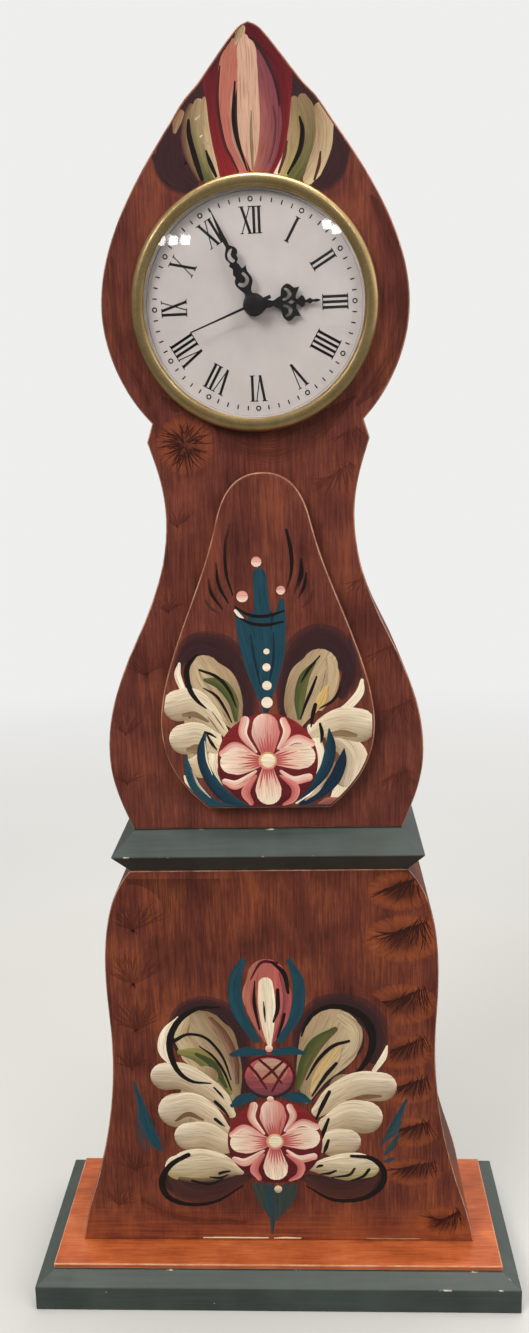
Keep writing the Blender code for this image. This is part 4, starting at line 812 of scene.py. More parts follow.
# Heights and half widths of the hood's ground, which the board's own edge cuts off.
HOOD_MIDDLE = 0.3
HOOD_GROUND = [
    (388.8, 0.9), (387.7, 2.8), (384.2, 6), (378.5, 11), (374, 15.4), (370.2, 20), (367, 22.4), (363, 25),
    (357.8, 28),
]
HOOD_ROWS = [
    ("maroon", (-9.7, 374.7, 0.87), (-13.4, 370.5, 2.62), (-17.1, 365, 3.84), (-20.8, 358.1, 4.89),
     (-21.4, 352.5, 4.89), (-18.3, 349.6, 3.84)),
    ("maroon -maroon", (-27.6, 355.5, 1.4), (-26.1, 350.2, 1.75), (-22.7, 346.9, 1.92),
     (-17.8, 345.6, 1.75)),
    ("maroon", (10.8, 374.7, 0.87), (14.6, 371.2, 2.62), (19, 365.6, 3.84), (22.5, 359.1, 4.89),
     (23.1, 353.2, 4.89), (19.9, 348.9, 3.84)),
    ("-maroon maroon", (27.3, 354.9, 1.4), (25.9, 349.9, 1.75), (22.3, 346.2, 1.92), (17, 344.9, 1.75)),
    ("~beige ~tan", (-19.1, 366.6, 1.02), (-20.1, 364.7, 1.23), (-20.9, 362.1, 0.6)),
    ("umber tan umber tan", (-14.6, 349.7, 0.71), (-17.2, 354.9, 0.97), (-18.1, 359.8, 1.18),
     (-18, 363.7, 0.84), (-17.4, 366.3, 0.77), (-16.3, 368.4, 0.73)),
    ("green olive tan beige", (-12, 349.9, 1.77), (-13.2, 353.9, 1.68), (-14.2, 358.1, 1.94),
     (-14.7, 361.4, 1.88), (-14.8, 364.3, 2.1), (-14.5, 366.9, 1.87), (-14, 368.9, 1.4)),
    ("beige buff tan beige", (-9.5, 350.3, 1.06), (-10.7, 353.9, 1.32), (-11.4, 358.1, 1.37),
     (-11.9, 361.4, 1.23), (-12.3, 364.7, 1.1), (-12.5, 367.6, 1.08), (-12.3, 369.9, 0.77)),
    ("black", (-13.8, 349.5, 0.53), (-15.2, 353.9, 0.79), (-16.3, 358.1, 0.74), (-17, 361.4, 0.67),
     (-17, 364.7, 0.39)),
    ("black", (-9.9, 350.2, 0.44), (-11.3, 353.5, 0.6), (-12.4, 356.8, 0.25)),
    ("~cream", (-15, 365, 0.28), (-13.8, 365.9, 0.21)),
    ("cream", (-13.8, 360.5, 0.24), (-13.3, 360.8, 0.17)),
    ("~cream", (-13.1, 359.1, 0.17), (-10.3, 357.9, 0.21)),
    ("petal blush", (6.6, 351, 1.01), (7.9, 353.9, 0.88), (9.1, 357.2, 0.7)),
    ("beige sap tan tan", (8.7, 350.3, 1.41), (10.4, 353.2, 1.77), (11.5, 356.5, 1.99), (12, 359.8, 1.88),
     (12.3, 363.7, 1.67), (12.4, 366.9, 1.44), (12.2, 369.1, 0.96)),
    ("olive green tan tan", (12.1, 349.9, 1.95), (14.3, 353.2, 1.77), (15.9, 357.2, 1.87),
     (16.3, 361.4, 1.93), (16, 364.7, 2.05), (15.3, 367.3, 2.01), (14.5, 369.2, 1.4)),
    ("beige buff tan beige", (15.8, 348.7, 1.59), (18.2, 352.2, 2.56), (20, 356.5, 2.78),
     (20.5, 361.4, 2.6), (19.8, 364.7, 2.14), (18.9, 366.8, 1.35)),
    ("black", (10.1, 350.2, 0.3), (12.4, 353.9, 0.56), (13.8, 357.2, 0.7), (14.3, 361.4, 0.63),
     (13.6, 364.7, 0.28)),
    ("umber", (7.6, 350.6, 0.32), (9.2, 354.9, 0.46), (10, 358.5, 0.25)),
    ("umber", (17.4, 348.4, 0.32), (18.7, 352.2, 0.46), (19.2, 355.5, 0.25)),
    ("maroon", (18.8, 348.2, 0.39), (21.4, 352.9, 0.49), (22.9, 357.2, 0.49), (23.1, 362.1, 0.25)),
    ("crimson crimson wine wine", (-6.3, 350.9, 2.65), (-7.6, 354.9, 2.19), (-8.8, 358.1, 1.72),
     (-9.8, 363.7, 1.61), (-10.3, 369.5, 1.61), (-10.6, 374, 2.18), (-9.4, 376.6, 1.32),
     (-8.4, 378.5, 0.56)),
    ("wine crimson wine wine", (5.4, 351, 0.94), (7.5, 354.9, 1.06), (8.5, 358.1, 1.13), (9.5, 363.7, 1.26),
     (9.5, 369.5, 1.89), (9.3, 374, 2.53), (8.7, 377.6, 3.22), (6.1, 381.4, 2.77), (4.1, 383.6, 2.51),
     (2.2, 385.8, 2.59), (0.8, 387.7, 2.28), (0, 388.7, 1.04)),
    ("dusty plum plum plum", (2.5, 351.1, 2.39), (3.9, 354.9, 3.03), (4.7, 358.1, 3.19), (5.4, 363.7, 3.39),
     (5, 369.5, 3.01), (4.5, 372.8, 2.6), (3.8, 376, 2.05), (3, 379.2, 1.46), (2.2, 382.3, 0.78)),
    ("plum umber", (4.9, 353.2, 0.25), (6.4, 358.1, 0.35), (6.9, 363, 0.35), (6.3, 367.6, 0.21)),
    ("maroon", (8.1, 367.6, 0.21), (7.7, 371.2, 0.38), (6.7, 375, 0.38), (5.5, 377.9, 0.45),
     (3.7, 381.4, 0.55), (1.9, 383.6, 0.62), (-0.1, 385.4, 0.42)),
    ("dusty rose dusty dusty", (-2.2, 351.3, 1.41), (-3.6, 354.9, 1.82), (-5.1, 358.1, 1.94),
     (-6.2, 363.7, 2.17), (-6.4, 369.5, 2.45), (-5.9, 374, 2.72), (-5.2, 379.2, 2.76), (-4.3, 382.3, 1.73),
     (-3.8, 384.2, 0.9)),
    ("~petal", (-1.9, 352.2, 0.3), (-4.4, 358.1, 0.4), (-5.2, 363.7, 0.39), (-5.2, 369.5, 0.35),
     (-5, 372.8, 0.24)),
    ("wine maroon", (-3.6, 351.1, 0.21), (-5.5, 354.9, 0.35), (-7.1, 358.1, 0.39), (-8.3, 363.7, 0.39),
     (-8.8, 369.5, 0.38), (-8.5, 374, 0.35), (-7.9, 378.2, 0.21)),
    ("tan beige", (-3.6, 383.8, 0.43), (-2.4, 385.8, 1.16), (-1.7, 387.4, 1.04), (-1.5, 388.3, 0.48)),
    ("petal", (0.1, 351.4, 0.25), (0, 354.9, 1.59), (-0.3, 358.1, 2.45), (-0.4, 363.7, 3.09),
     (-0.4, 369.5, 3.01), (-0.4, 374, 2.86), (-0.4, 379.2, 2.67), (-0.6, 382.3, 2.58), (-0.9, 384.1, 1.87),
     (-0.9, 385.1, 0.86)),
    ("black", (-1.1, 351.4, 0.21), (-2.6, 355.8, 0.42), (-3.9, 359.8, 0.49), (-4.6, 364.7, 0.53),
     (-4.3, 369.5, 0.45), (-3.9, 374.2, 0.21)),
    ("tan", (0.4, 351.6, 0.21), (0.3, 356.5, 0.46), (0.2, 361.4, 0.42), (0.4, 366.6, 0.14)),
]

DOOR_HALOS = [
    ("-maroon maroon", (-26, 212.5, 1.6), (-22.8, 218.6, 3.4), (-17, 220.6, 4.2), (-10, 217.4, 5),
     (-5.8, 209.5, 4.8), (-4, 200, 3.4), (-4, 194.5, 1.6)),
    ("~maroon maroon", (-25.5, 212.5, 1.2), (-22.5, 217.8, 2.8), (-17, 219.5, 3.4), (-10.5, 216.5, 4.2),
     (-6.6, 209, 4), (-4.8, 200, 2.6), (-4.6, 194.5, 1)),
    ("maroon", (-9, 196, 4.5), (-13, 204, 6.5), (-17, 211, 6.5)),
    ("-maroon maroon", (5, 195.5, 1.6), (5.6, 203.5, 3.2), (7.6, 213, 5), (12.6, 220.4, 4.8),
     (19.2, 222.2, 4.2), (25.4, 216.8, 4.4), (27.4, 209.5, 3.6), (24.6, 202.6, 1.8)),
    ("~maroon maroon", (5.6, 195.5, 1), (6.2, 203.5, 2.4), (8.4, 212.5, 4), (13, 219.3, 4), (19, 221, 3.4),
     (24.6, 216.2, 3.8), (26.6, 209.5, 3.2), (23.6, 203, 1.6)),
    ("maroon", (9, 196, 4.5), (13, 205, 6.5), (17, 212, 6.5)),
]
DOOR_TULIP = [
    ("teal navy", (0.6, 198.5, 1), (0.6, 204, 2.4), (0.6, 212, 4.4), (0.2, 220, 4.8), (0, 224.8, 4.6)),
    ("teal", (-0.6, 203, 1.4), (-2.6, 212, 2.6), (-5, 221, 2.3), (-6.9, 228.2, 0.9)),
    ("teal", (1.8, 204, 1.4), (4, 215, 2.4), (5.2, 225, 1.9), (6.1, 231.6, 0.7)),
    ("teal", (0.5, 202, 1.4), (0.4, 214, 2.5), (0.2, 228, 2.3), (-0.4, 239.4, 1.9)),
    ("navy", (-3.4, 221.5, 0.2), (-2.4, 214, 0.4), (-0.8, 206, 0.2)),
    ("navy", (3.4, 222, 0.2), (3.2, 214, 0.4), (1.6, 206, 0.2)),
    ("black", (-7.8, 230, 0.25), (-4, 227.6, 0.45), (1, 227, 0.5), (6.6, 228.5, 0.3)),
    ("black", (-7.4, 227.2, 0.25), (-3.4, 225, 0.45), (1.4, 224.4, 0.5), (6.4, 225.3, 0.3)),
    ("white", (-7.7, 228.8, 0.45), (-6.6, 227.4, 0.5), (-5.4, 226.6, 0.15)),
    ("~black ~black black black", (-8.6, 254.2, 0.2), (-10.2, 247.8, 0.4), (-10.1, 240, 0.45),
     (-8.4, 233.5, 0.2)),
    ("black black ~black ~black", (7.8, 252.4, 0.35), (9, 246.3, 0.6), (9, 239.8, 0.45), (7.2, 234, 0.2)),
    ("~black ~black black black", (-13, 243, 0.2), (-12.4, 236.6, 0.5), (-9.8, 231.2, 0.2)),
    ("~black ~black black black", (-15.4, 238.4, 0.2), (-14.6, 234, 0.5), (-11.6, 229.4, 0.2)),
    ("umber", (-16.4, 232, 0.3), (-15, 229.8, 0.5), (-12.6, 228, 0.15)),
    ("black black ~black ~black", (12, 243.6, 0.3), (11.8, 239, 0.7), (9.8, 233.8, 0.2)),
    ("black black ~black ~black", (13.4, 239.6, 0.2), (12.8, 236, 0.5), (11, 232.2, 0.2)),
    ("umber", (15.2, 234.2, 0.3), (14.2, 231.6, 0.6), (12.2, 229.6, 0.15)),
]
DOOR_LEAVES = [
    ("beige tan buff beige", (-8.6, 194, 2), (-11.2, 199.5, 5.4), (-14.6, 206, 6.8), (-17.6, 210.6, 5)),
    ("beige ~buff", (-12.6, 196, 1.2), (-16, 201.6, 2.4), (-19.6, 207.4, 2.2), (-20.6, 211.6, 1.2)),
    ("green olive", (-8.5, 195.5, 0.6), (-9.2, 201.5, 1.6), (-12.6, 206.5, 1.8), (-17.4, 208, 0.6)),
    ("black", (-19, 211.1, 0.35), (-13.9, 208.9, 0.5), (-10.4, 204.9, 0.5), (-8.3, 199.5, 0.2)),
    ("black", (-17.9, 205.5, 0.2), (-14.1, 202.9, 0.45), (-11.6, 198.8, 0.4), (-9.8, 194.8, 0.2)),
    ("tan beige beige buff", (9.6, 193.8, 2), (11, 199.5, 5.2), (14.4, 206.8, 7), (17, 211.6, 5.4)),
    ("~buff beige", (17, 199, 1), (19.4, 204, 2.4), (20.6, 209.4, 2.2), (19.8, 213.4, 1)),
    ("yellow ~yellow", (15.8, 198.6, 0.8), (17.6, 201.5, 1.7), (18.8, 205, 0.8)),
    ("green olive", (10.6, 195.8, 0.6), (10.8, 201.5, 1.6), (12.2, 208, 1.6), (15.6, 213, 0.4)),
    ("black", (17, 214.8, 0.2), (13.7, 210.8, 0.45), (11.4, 206.9, 0.2)),
    ("black", (16, 208.5, 0.3), (14.3, 204.2, 0.5), (12.6, 200.2, 0.45), (11, 195.5, 0.2)),
    ("black", (23.4, 205.5, 0.2), (20.8, 201.2, 0.45), (16.8, 198.8, 0.2)),
]
DOOR_SCALLOPS = [
    ("tan beige", (-19, 200, 3.6), (-20, 192, 4.6), (-19, 182, 4)),
    ("beige tan", (21, 194, 3.6), (22.6, 187, 4), (21.6, 178, 4)),
    ("white", (-25, 213.1, 0.4), (-25.6, 209.6, 1), (-24.3, 205.4, 0.9)),
    ("cream beige", (-23, 182, 1.6), (-20, 181.6, 4.2), (-16, 182.6, 2.6)),
    ("cream white", (-17.4, 196, 1.5), (-15, 190, 2), (-15.4, 184, 1.6), (-15.8, 179, 1.2),
     (-13.4, 173, 1.1), (-9.6, 169.2, 0.5)),
    ("white tan cream buff", (-25.6, 200.2, 4.9), (-21.4, 200.8, 4.6), (-16.9, 197.3, 3.4),
     (-11.8, 191.4, 1.2)),
    ("~tan tan", (-24.4, 197.2, 0.5), (-21, 197.4, 0.9), (-17, 195.2, 0.4)),
    ("white tan cream buff", (-24.2, 189.7, 4.8), (-20, 190.1, 4.6), (-15.2, 187, 2)),
    ("~tan tan", (-23.4, 186.4, 0.6), (-21, 186.6, 1.5), (-18.4, 187.4, 0.5)),
    ("white", (-24.7, 178, 0.3), (-23.6, 174.6, 0.7), (-21.6, 171.8, 0.3)),
    ("tan", (-15.6, 198.2, 0.12), (-13.9, 195.5, 0.25), (-12.2, 192.7, 0.1)),
    ("tan", (-17, 196.6, 0.12), (-15.4, 194.4, 0.25), (-13.6, 191.6, 0.1)),
    ("white", (14.1, 192.8, 1.2), (16, 186.7, 1.8), (16.6, 181.2, 1.6), (15, 176, 2), (12.6, 172.6, 1.6),
     (9.4, 169.4, 0.6)),
    ("cream white", (21.8, 176.6, 2.2), (23, 173, 3.2), (21.4, 170.4, 1.8)),
    ("~plum dusty", (22.4, 170, 0.8), (19, 169.4, 1.4), (16.4, 168.6, 0.6)),
    ("tan white tan cream", (25, 178.6, 4.8), (25.6, 183.6, 5.4), (22.9, 187.4, 3.6), (20.6, 188.8, 1.6)),
    ("~tan ~tan", (22.4, 178, 0.8), (22.6, 181.6, 1.3), (21.6, 184.6, 0.6)),
    ("white", (29.5, 207.2, 0.5), (28.8, 203.5, 1.2), (25.9, 199.9, 1.2), (22.6, 198, 0.5)),
    ("tan white buff cream", (28.6, 193.3, 5.2), (23.6, 194.1, 4.9), (18.3, 192.8, 3.4),
     (14.6, 190.9, 1.4)),
    ("tan ~tan", (27.6, 190.2, 0.5), (23.6, 191, 1), (19.4, 190.6, 0.5)),
    ("black", (15.5, 199.9, 0.6), (14.6, 196.5, 0.6), (14.1, 193.1, 0.2)),
    ("black", (-18, 191.8, 0.4), (-16.4, 191.2, 0.4), (-14.8, 190.2, 0.2)),
    ("black", (-17.4, 191, 0.3), (-16, 188.2, 0.5), (-14.6, 186.3, 0.2)),
    ("black", (16.8, 194, 0.4), (17.4, 190.8, 0.6), (17, 188.2, 0.2)),
    ("black", (-19.6, 215.8, 0.3), (-22.7, 211.6, 0.8), (-22.3, 205.8, 0.8), (-20.2, 201.9, 0.6),
     (-17.4, 199.2, 0.2)),
]
DOOR_SPRAYS = [
    ("teal navy", (-18, 191.8, 0.3), (-19.1, 186, 1.5), (-18.2, 179.9, 1.7), (-14.3, 173.3, 1.9),
     (-9.1, 169.1, 1.4), (-4.4, 167.7, 0.5)),
    ("teal", (-24.2, 184.8, 0.2), (-23.1, 178.5, 1.4), (-20.3, 172.9, 1.8), (-16.4, 168.9, 1.8),
     (-9, 167.6, 0.8)),
    ("~white white", (-18.2, 189, 0.1), (-17.6, 183, 0.3), (-16.2, 178.4, 0.1)),
    ("~white ~cream", (-22.4, 180, 0.1), (-20.4, 175, 0.4), (-17, 171, 0.1)),
    ("navy teal", (19.5, 192.4, 0.2), (19.9, 186.7, 1.6), (18.2, 179.9, 1.7), (14.1, 174.3, 1.2),
     (8.7, 169.5, 0.4)),
    ("navy", (24, 186.1, 0.2), (23.2, 181.9, 1.5), (20.8, 176.4, 1.8), (16.1, 171.9, 1.4),
     (10.8, 168.8, 0.8)),
    ("navy teal", (21.4, 167.9, 0.4), (16, 167.9, 0.8), (10, 167.8, 0.6)),
    ("~white ~cream", (18.6, 176.8, 0.2), (15.6, 173, 0.6), (12, 170, 0.2)),
]
DOOR_DOTS = [
    ("pink blush", -1.2, 243.2, 1.5), ("pink blush", -5.6, 233, 1.7), ("pink blush", 5.8, 234.7, 1.3),
    ("white blush", 1.2, 216.4, 0.9), ("white blush", 1.1, 211.6, 1.2), ("white blush", 1.1, 206, 1.4),
    ("white blush", 1, 200.8, 1.7),
]

LOWER_HALOS = [
    ("-maroon maroon", (-34.2, 91, 1.4), (-30.4, 98.4, 3), (-23.4, 101.6, 3.8), (-15, 98.8, 4.2),
     (-9.8, 91, 4.2), (-8.4, 81, 3.2), (-9.4, 72, 1.8)),
    ("~maroon maroon", (-33.5, 91, 1), (-29.8, 97, 2.2), (-23.2, 100, 2.8), (-15.6, 97.5, 3.2),
     (-10.8, 90.5, 3.2), (-9.4, 81, 2.4), (-10.5, 72, 1.4)),
    ("maroon", (-13, 68, 3), (-17, 78, 7.6), (-22.4, 87.6, 10.4)),
    ("-maroon maroon", (7.4, 78, 1.6), (8.2, 89, 3.6), (12.6, 98, 4.6), (20.8, 102, 4.2), (30.6, 98.6, 4.8),
     (36, 90.4, 4.2), (34.6, 81, 2.2)),
    ("~maroon maroon", (8, 78, 1.2), (9, 89, 2.8), (13.4, 96.8, 3.6), (20.8, 100.4, 3.4), (29.6, 97.2, 4),
     (34.4, 89.6, 3.6), (32.8, 80.4, 1.8)),
    ("maroon", (11, 68, 3), (15, 78, 7.6), (19.4, 87.6, 10.4)),
    ("maroon -maroon", (-36.4, 40, 1.4), (-37.6, 33.4, 2.6), (-30, 28.4, 4.6), (-19, 29.8, 4.4),
     (-9, 36, 2.2)),
    ("maroon umber", (-34, 37, 2.4), (-29, 32.4, 4.4), (-20, 32.4, 4.2), (-11, 36.6, 1.6)),
    ("-maroon maroon", (34.4, 40.6, 1.2), (35.2, 34, 2.4), (28.4, 30, 4), (18.4, 30.6, 3.8), (9, 36, 1.8)),
    ("umber maroon", (32.4, 37.2, 1.8), (27.6, 33.6, 3.6), (19, 33.4, 3.6), (11, 37, 1.4)),
]
LOWER_SPRIGS = [
    ("teal ~teal", (-46, 72.3, 0.3), (-44.5, 65.5, 1.2), (-43, 57, 2.4), (-40.3, 50.3, 2.1),
     (-38.2, 47, 0.6)),
    ("~teal ~slate", (-45.8, 58, 0.4), (-44.7, 51, 1), (-43, 46.8, 0.5)),
    ("~teal teal", (43.4, 65.8, 0.4), (40, 57.9, 1.2), (35.5, 49.8, 0.5)),
    ("~teal slate", (41.6, 57.6, 0.4), (38.8, 53.4, 1.1), (35.4, 50.6, 0.4)),
    ("slate ~teal", (41, 53.4, 0.4), (38.6, 49, 1.1), (36.2, 45.6, 0.4)),
    ("~teal slate", (39.4, 44.4, 0.3), (37.6, 43.4, 0.8), (36, 43, 0.2)),
    ("slate ~slate", (-7, 33.6, 1.2), (-5.6, 30, 1.4), (-4.2, 25, 0.5)),
    ("slate", (-4.4, 33.6, 1.4), (-3.4, 28, 1.5), (-2.6, 22.6, 0.5)),
    ("slate teal", (-1.8, 33, 1.4), (-1.4, 27.4, 1.7), (-1.4, 20.6, 0.9), (-1.7, 15.6, 0.3)),
    ("slate", (1, 32.6, 1.3), (0.9, 27, 1.5), (0.2, 21, 0.5)),
    ("slate", (3.4, 33.4, 1.3), (3, 28.6, 1.5), (2, 23, 0.5)),
    ("~slate slate", (6.2, 34, 1.1), (5.4, 30.4, 1.4), (4, 25.6, 0.5)),
]
LOWER_LEAVES = [
    ("beige tan buff tan", (-12.6, 66.5, 1.6), (-15.6, 75.5, 5.8), (-20.6, 84.5, 9.6), (-23.4, 89, 8.8)),
    ("~beige ~umber", (-12, 72, 0.8), (-12.8, 80, 1.6), (-16, 88.6, 1.8), (-20, 94.6, 1)),
    ("buff ~beige", (-20, 78, 1), (-25.4, 83, 2), (-29.4, 89, 2.4), (-27.4, 94.6, 1.2)),
    ("sap olive sap olive", (-30.3, 82.9, 1), (-24.4, 81.7, 2.5), (-18.5, 76.3, 2.4), (-14.3, 68.4, 0.9)),
    ("~green green", (-25, 82.2, 0.6), (-19.6, 78.4, 1.2), (-15.6, 70.4, 0.5)),
    ("black", (-32, 87, 0.7), (-27.4, 89.3, 0.5), (-21.5, 87.8, 0.5), (-16.5, 81.3, 0.45),
     (-13.9, 73, 0.2)),
    ("black", (-23.9, 85, 0.2), (-19.5, 81.3, 0.45), (-16, 75.5, 0.45), (-13.9, 69.2, 0.2)),
    ("black", (-21.1, 77.5, 0.6), (-19.4, 75.4, 0.5), (-17.9, 73.4, 0.2)),
    ("tan beige beige buff", (10.6, 66, 1.6), (13, 75.5, 5.8), (17.6, 84.5, 9.6), (19.8, 89.4, 8.8)),
    ("buff ~buff", (20.6, 78, 1.2), (25.6, 84, 2.2), (26.6, 90.6, 2.4), (22.4, 95.4, 1.4)),
    ("yellow ~buff", (12.6, 69, 0.8), (15.4, 74.6, 2.2), (19.6, 80.6, 2.2), (22, 84.6, 0.8)),
    ("green ~olive", (7.9, 70, 0.7), (10.4, 78.8, 2), (14.2, 85.8, 2.3), (20.3, 91, 0.9)),
    ("black", (24.7, 86.8, 0.5), (19.5, 85, 0.65), (14.6, 80, 0.6), (10.7, 73, 0.25)),
    ("black", (20.5, 78.8, 0.6), (17.1, 74.6, 0.65), (12.5, 67.1, 0.3)),
    ("black", (9.4, 88.6, 0.3), (12, 95, 0.6), (18.4, 99, 0.8), (25.8, 97.8, 1.1), (31, 93, 1.3),
     (32.4, 86.4, 1.2), (30.2, 79.4, 0.9), (25, 73, 0.4)),
]
LOWER_SCALLOPS = [
    ("tan beige", (-22, 74, 4), (-26, 63, 6), (-21, 50, 5)),
    ("beige tan", (23, 70, 5), (23, 60, 5), (19, 49, 4)),
    ("white", (-30.6, 95.2, 0.4), (-34.3, 89.6, 2), (-35.2, 83.7, 2.3), (-33.2, 79, 1)),
    ("white tan cream beige", (-35.5, 74.2, 4.9), (-30, 74.2, 4.8), (-23.6, 70.7, 4.2), (-17.7, 65.9, 3.2),
     (-14.1, 60.4, 1.4)),
    ("black", (-16.7, 98.8, 0.2), (-24.1, 98.4, 0.7), (-30.5, 93.9, 1), (-33.7, 86.2, 1.1),
     (-32, 77.5, 0.9), (-27.3, 72.6, 0.6), (-20.6, 71.7, 0.25)),
    ("white tan cream beige", (-32.2, 61.8, 6.2), (-27, 62.8, 5.4), (-21.7, 59.8, 4.2), (-16.2, 54.9, 1.6)),
    ("~tan ~tan", (-32.6, 58, 0.4), (-28.4, 60.4, 0.9), (-23.6, 58.4, 0.4)),
    ("white tan cream beige", (-28.2, 52.2, 5.2), (-22.8, 52.4, 5), (-16.6, 49.4, 3.6)),
    ("white sap cream tan", (-32.4, 40.6, 4.6), (-25.6, 41.2, 6.4), (-18.5, 41.4, 4.6), (-11.6, 38.9, 1)),
    ("white ~cream", (-35, 41.4, 0.8), (-31, 45, 1.4), (-24.6, 46.4, 1.2), (-17, 44.4, 0.6)),
    ("~tan maroon", (-32, 36.4, 0.8), (-26.6, 35.6, 1), (-20, 36.2, 0.9), (-14, 37.6, 0.3)),
    ("white", (37, 85, 0.3), (35.8, 81, 1), (32.7, 76, 0.7)),
    ("tan white beige cream", (35, 70.4, 5.2), (28, 70.4, 5.4), (20.4, 66.9, 4.4), (14.4, 61.6, 2.2)),
    ("~tan ~tan", (35, 67, 0.4), (30, 66.8, 0.9), (24, 65.4, 0.4)),
    ("tan white beige cream", (29.6, 59.3, 6), (24.5, 59.9, 5.4), (17.4, 56.6, 3)),
    ("tan white beige cream", (23.8, 50.4, 4.6), (19.5, 50.5, 4.4), (15.6, 48.8, 2.6)),
    ("sap white tan cream", (30.6, 41, 3.9), (24.3, 40.9, 4.9), (17.4, 41, 3.6), (11.2, 40.6, 1)),
    ("~cream white", (33, 42.6, 0.5), (28.6, 45, 1), (22, 45, 1), (15, 43, 0.5)),
    ("black", (-29, 45.4, 0.8), (-34.9, 41.7, 0.9), (-38.2, 35.7, 1.1), (-36.5, 29.6, 1),
     (-29.7, 26.7, 0.7), (-20.4, 27.8, 0.5), (-11, 33.9, 0.2)),
    ("black", (25.1, 45.1, 0.5), (31.6, 44.3, 0.8), (35.7, 40, 1), (35, 33.9, 1), (28.9, 29.2, 0.8),
     (18.9, 28.7, 0.6), (10.1, 33.9, 0.2)),
    ("black", (-19.6, 70.2, 0.3), (-17.6, 67.8, 0.4), (-16.4, 66, 0.1)),
    ("black", (-19.4, 65, 0.6), (-17.2, 62.6, 0.6), (-15, 59.6, 0.2)),
    ("black", (-19.5, 58.6, 0.6), (-18, 57.2, 0.5), (-16.6, 56, 0.2)),
    ("black", (-18.8, 38.4, 0.5), (-17.2, 39, 0.5), (-15.3, 39.3, 0.3)),
    ("black", (-22.1, 37.1, 0.2), (-18.6, 36.8, 0.45), (-15.9, 38, 0.2)),
    ("black", (-28.1, 35.7, 0.4), (-22.5, 34.5, 0.5), (-17.7, 36.3, 0.2)),
    ("black", (18.2, 68.6, 0.6), (15.9, 63.8, 0.75), (13.7, 58.7, 0.3)),
    ("black", (17.8, 58.7, 0.45), (16.3, 54.5, 0.7), (15.3, 51.1, 0.4)),
    ("black", (17.7, 50.9, 0.45), (16.8, 48.1, 0.65), (16, 46, 0.2)),
    ("black", (13.6, 40.8, 0.2), (14.6, 41.4, 0.5), (15.5, 41.5, 0.4)),
    ("black", (15, 38.4, 0.2), (17.6, 38.6, 0.5), (20, 39.6, 0.35)),
    ("black", (18.5, 37.1, 0.2), (24.2, 38, 0.5), (26.2, 40.4, 0.4)),
    ("black", (24.2, 35.7, 0.15), (28.8, 37.4, 0.5), (31, 40.1, 0.5)),
]
LOWER_BUD = [
    ("teal", (-9, 115, 1), (-11.6, 108.2, 2), (-11.1, 98.2, 2.1), (-5.4, 87.4, 1.2)),
    ("teal", (6, 115, 0.8), (8.7, 107.3, 1.9), (8, 97.4, 2), (2.8, 87.4, 1.2)),
    ("dusty rose", (-1, 85.4, 0.7), (-1.3, 93.4, 5), (-1.5, 102.4, 7.9), (-1.5, 109.4, 6.2)),
    ("dusty ~rose", (-2.4, 87, 0.5), (-5.4, 95, 1.5), (-6.4, 103, 1.6), (-5, 110.6, 1)),
    ("~plum rose", (0.4, 87, 0.4), (4, 95, 1.2), (5, 103, 1.3), (3.4, 110.6, 0.9)),
    ("wine", (-6.6, 108.6, 0.2), (-3, 114.4, 0.5), (2, 114.2, 0.5)),
    ("black", (0, 114.8, 0.3), (4.1, 110.6, 0.8), (5.4, 103.9, 0.5)),
    ("cream white", (-1, 85, 0.5), (-1.4, 92, 2), (-1.6, 100, 2.8), (-1.8, 107, 2.3)),
    ("black", (-5.3, 108, 0.2), (-5.6, 100, 0.6), (-4.1, 91, 0.3)),
    ("black", (-2.6, 100.8, 0.15), (-2.4, 97, 0.35), (-2.2, 93.6, 0.1)),
    ("black", (2, 104.9, 0.6), (1.9, 98.4, 0.7), (0.4, 93.6, 0.3)),
    ("black", (4, 96.4, 0.5), (2.9, 92, 0.5), (1.4, 88, 0.2)),
]
LOWER_BALL = [
    ("teal", (-13.4, 82, 0.7), (-9, 83, 1.6), (-3, 82.8, 1)),
    ("teal", (10.2, 82.6, 0.5), (5.6, 83.4, 1.5), (0.4, 82.8, 1)),
    ("teal", (-13.8, 63.6, 0.7), (-10.6, 65.8, 1.9), (-5.4, 67.4, 0.9)),
    ("teal", (11.6, 65.2, 0.7), (8.2, 66.6, 1.9), (3, 67.2, 0.9)),
]
LOWER_WEAR = [
    ("cream", (-25, 14, 0.15), (-14, 13.9, 0.4), (-3, 14, 0.15)),
    ("cream", (-1, 13.9, 0.15), (3, 13.9, 0.45), (8, 14, 0.15)),
    ("~buff", (30, 14, 0.1), (40, 13.9, 0.25), (48, 14, 0.1)),
]
LOWER_LATTICE = [
    ("wine", (-8, 78.4, 0.4), (-5.2, 74.8, 0.5), (-2.4, 69.8, 0.3)),
    ("wine", (-4.4, 80.2, 0.4), (-0.4, 76.2, 0.5), (2.6, 71.8, 0.3)),
    ("wine", (3.4, 79.8, 0.4), (-0.8, 75.8, 0.5), (-4.4, 72.6, 0.3)),
    ("wine", (5.2, 78.6, 0.4), (2.4, 74.4, 0.5), (-0.6, 68.8, 0.3)),
]
LOWER_ORB = [
    ("wine maroon", -1.5, 74, 8.8, 7.8), ("rose plum", -1.5, 74.1, 7.8, 6.9),
    ("petal dusty", -1, 76.2, 5.6, 4.4),
]
LOWER_DOTS = [
    ("white pink", -1.2, 84.2, 1.2), ("white pink", -1.2, 66, 1.1), ("cream beige", 0.7, 32.6, 1.3),
]

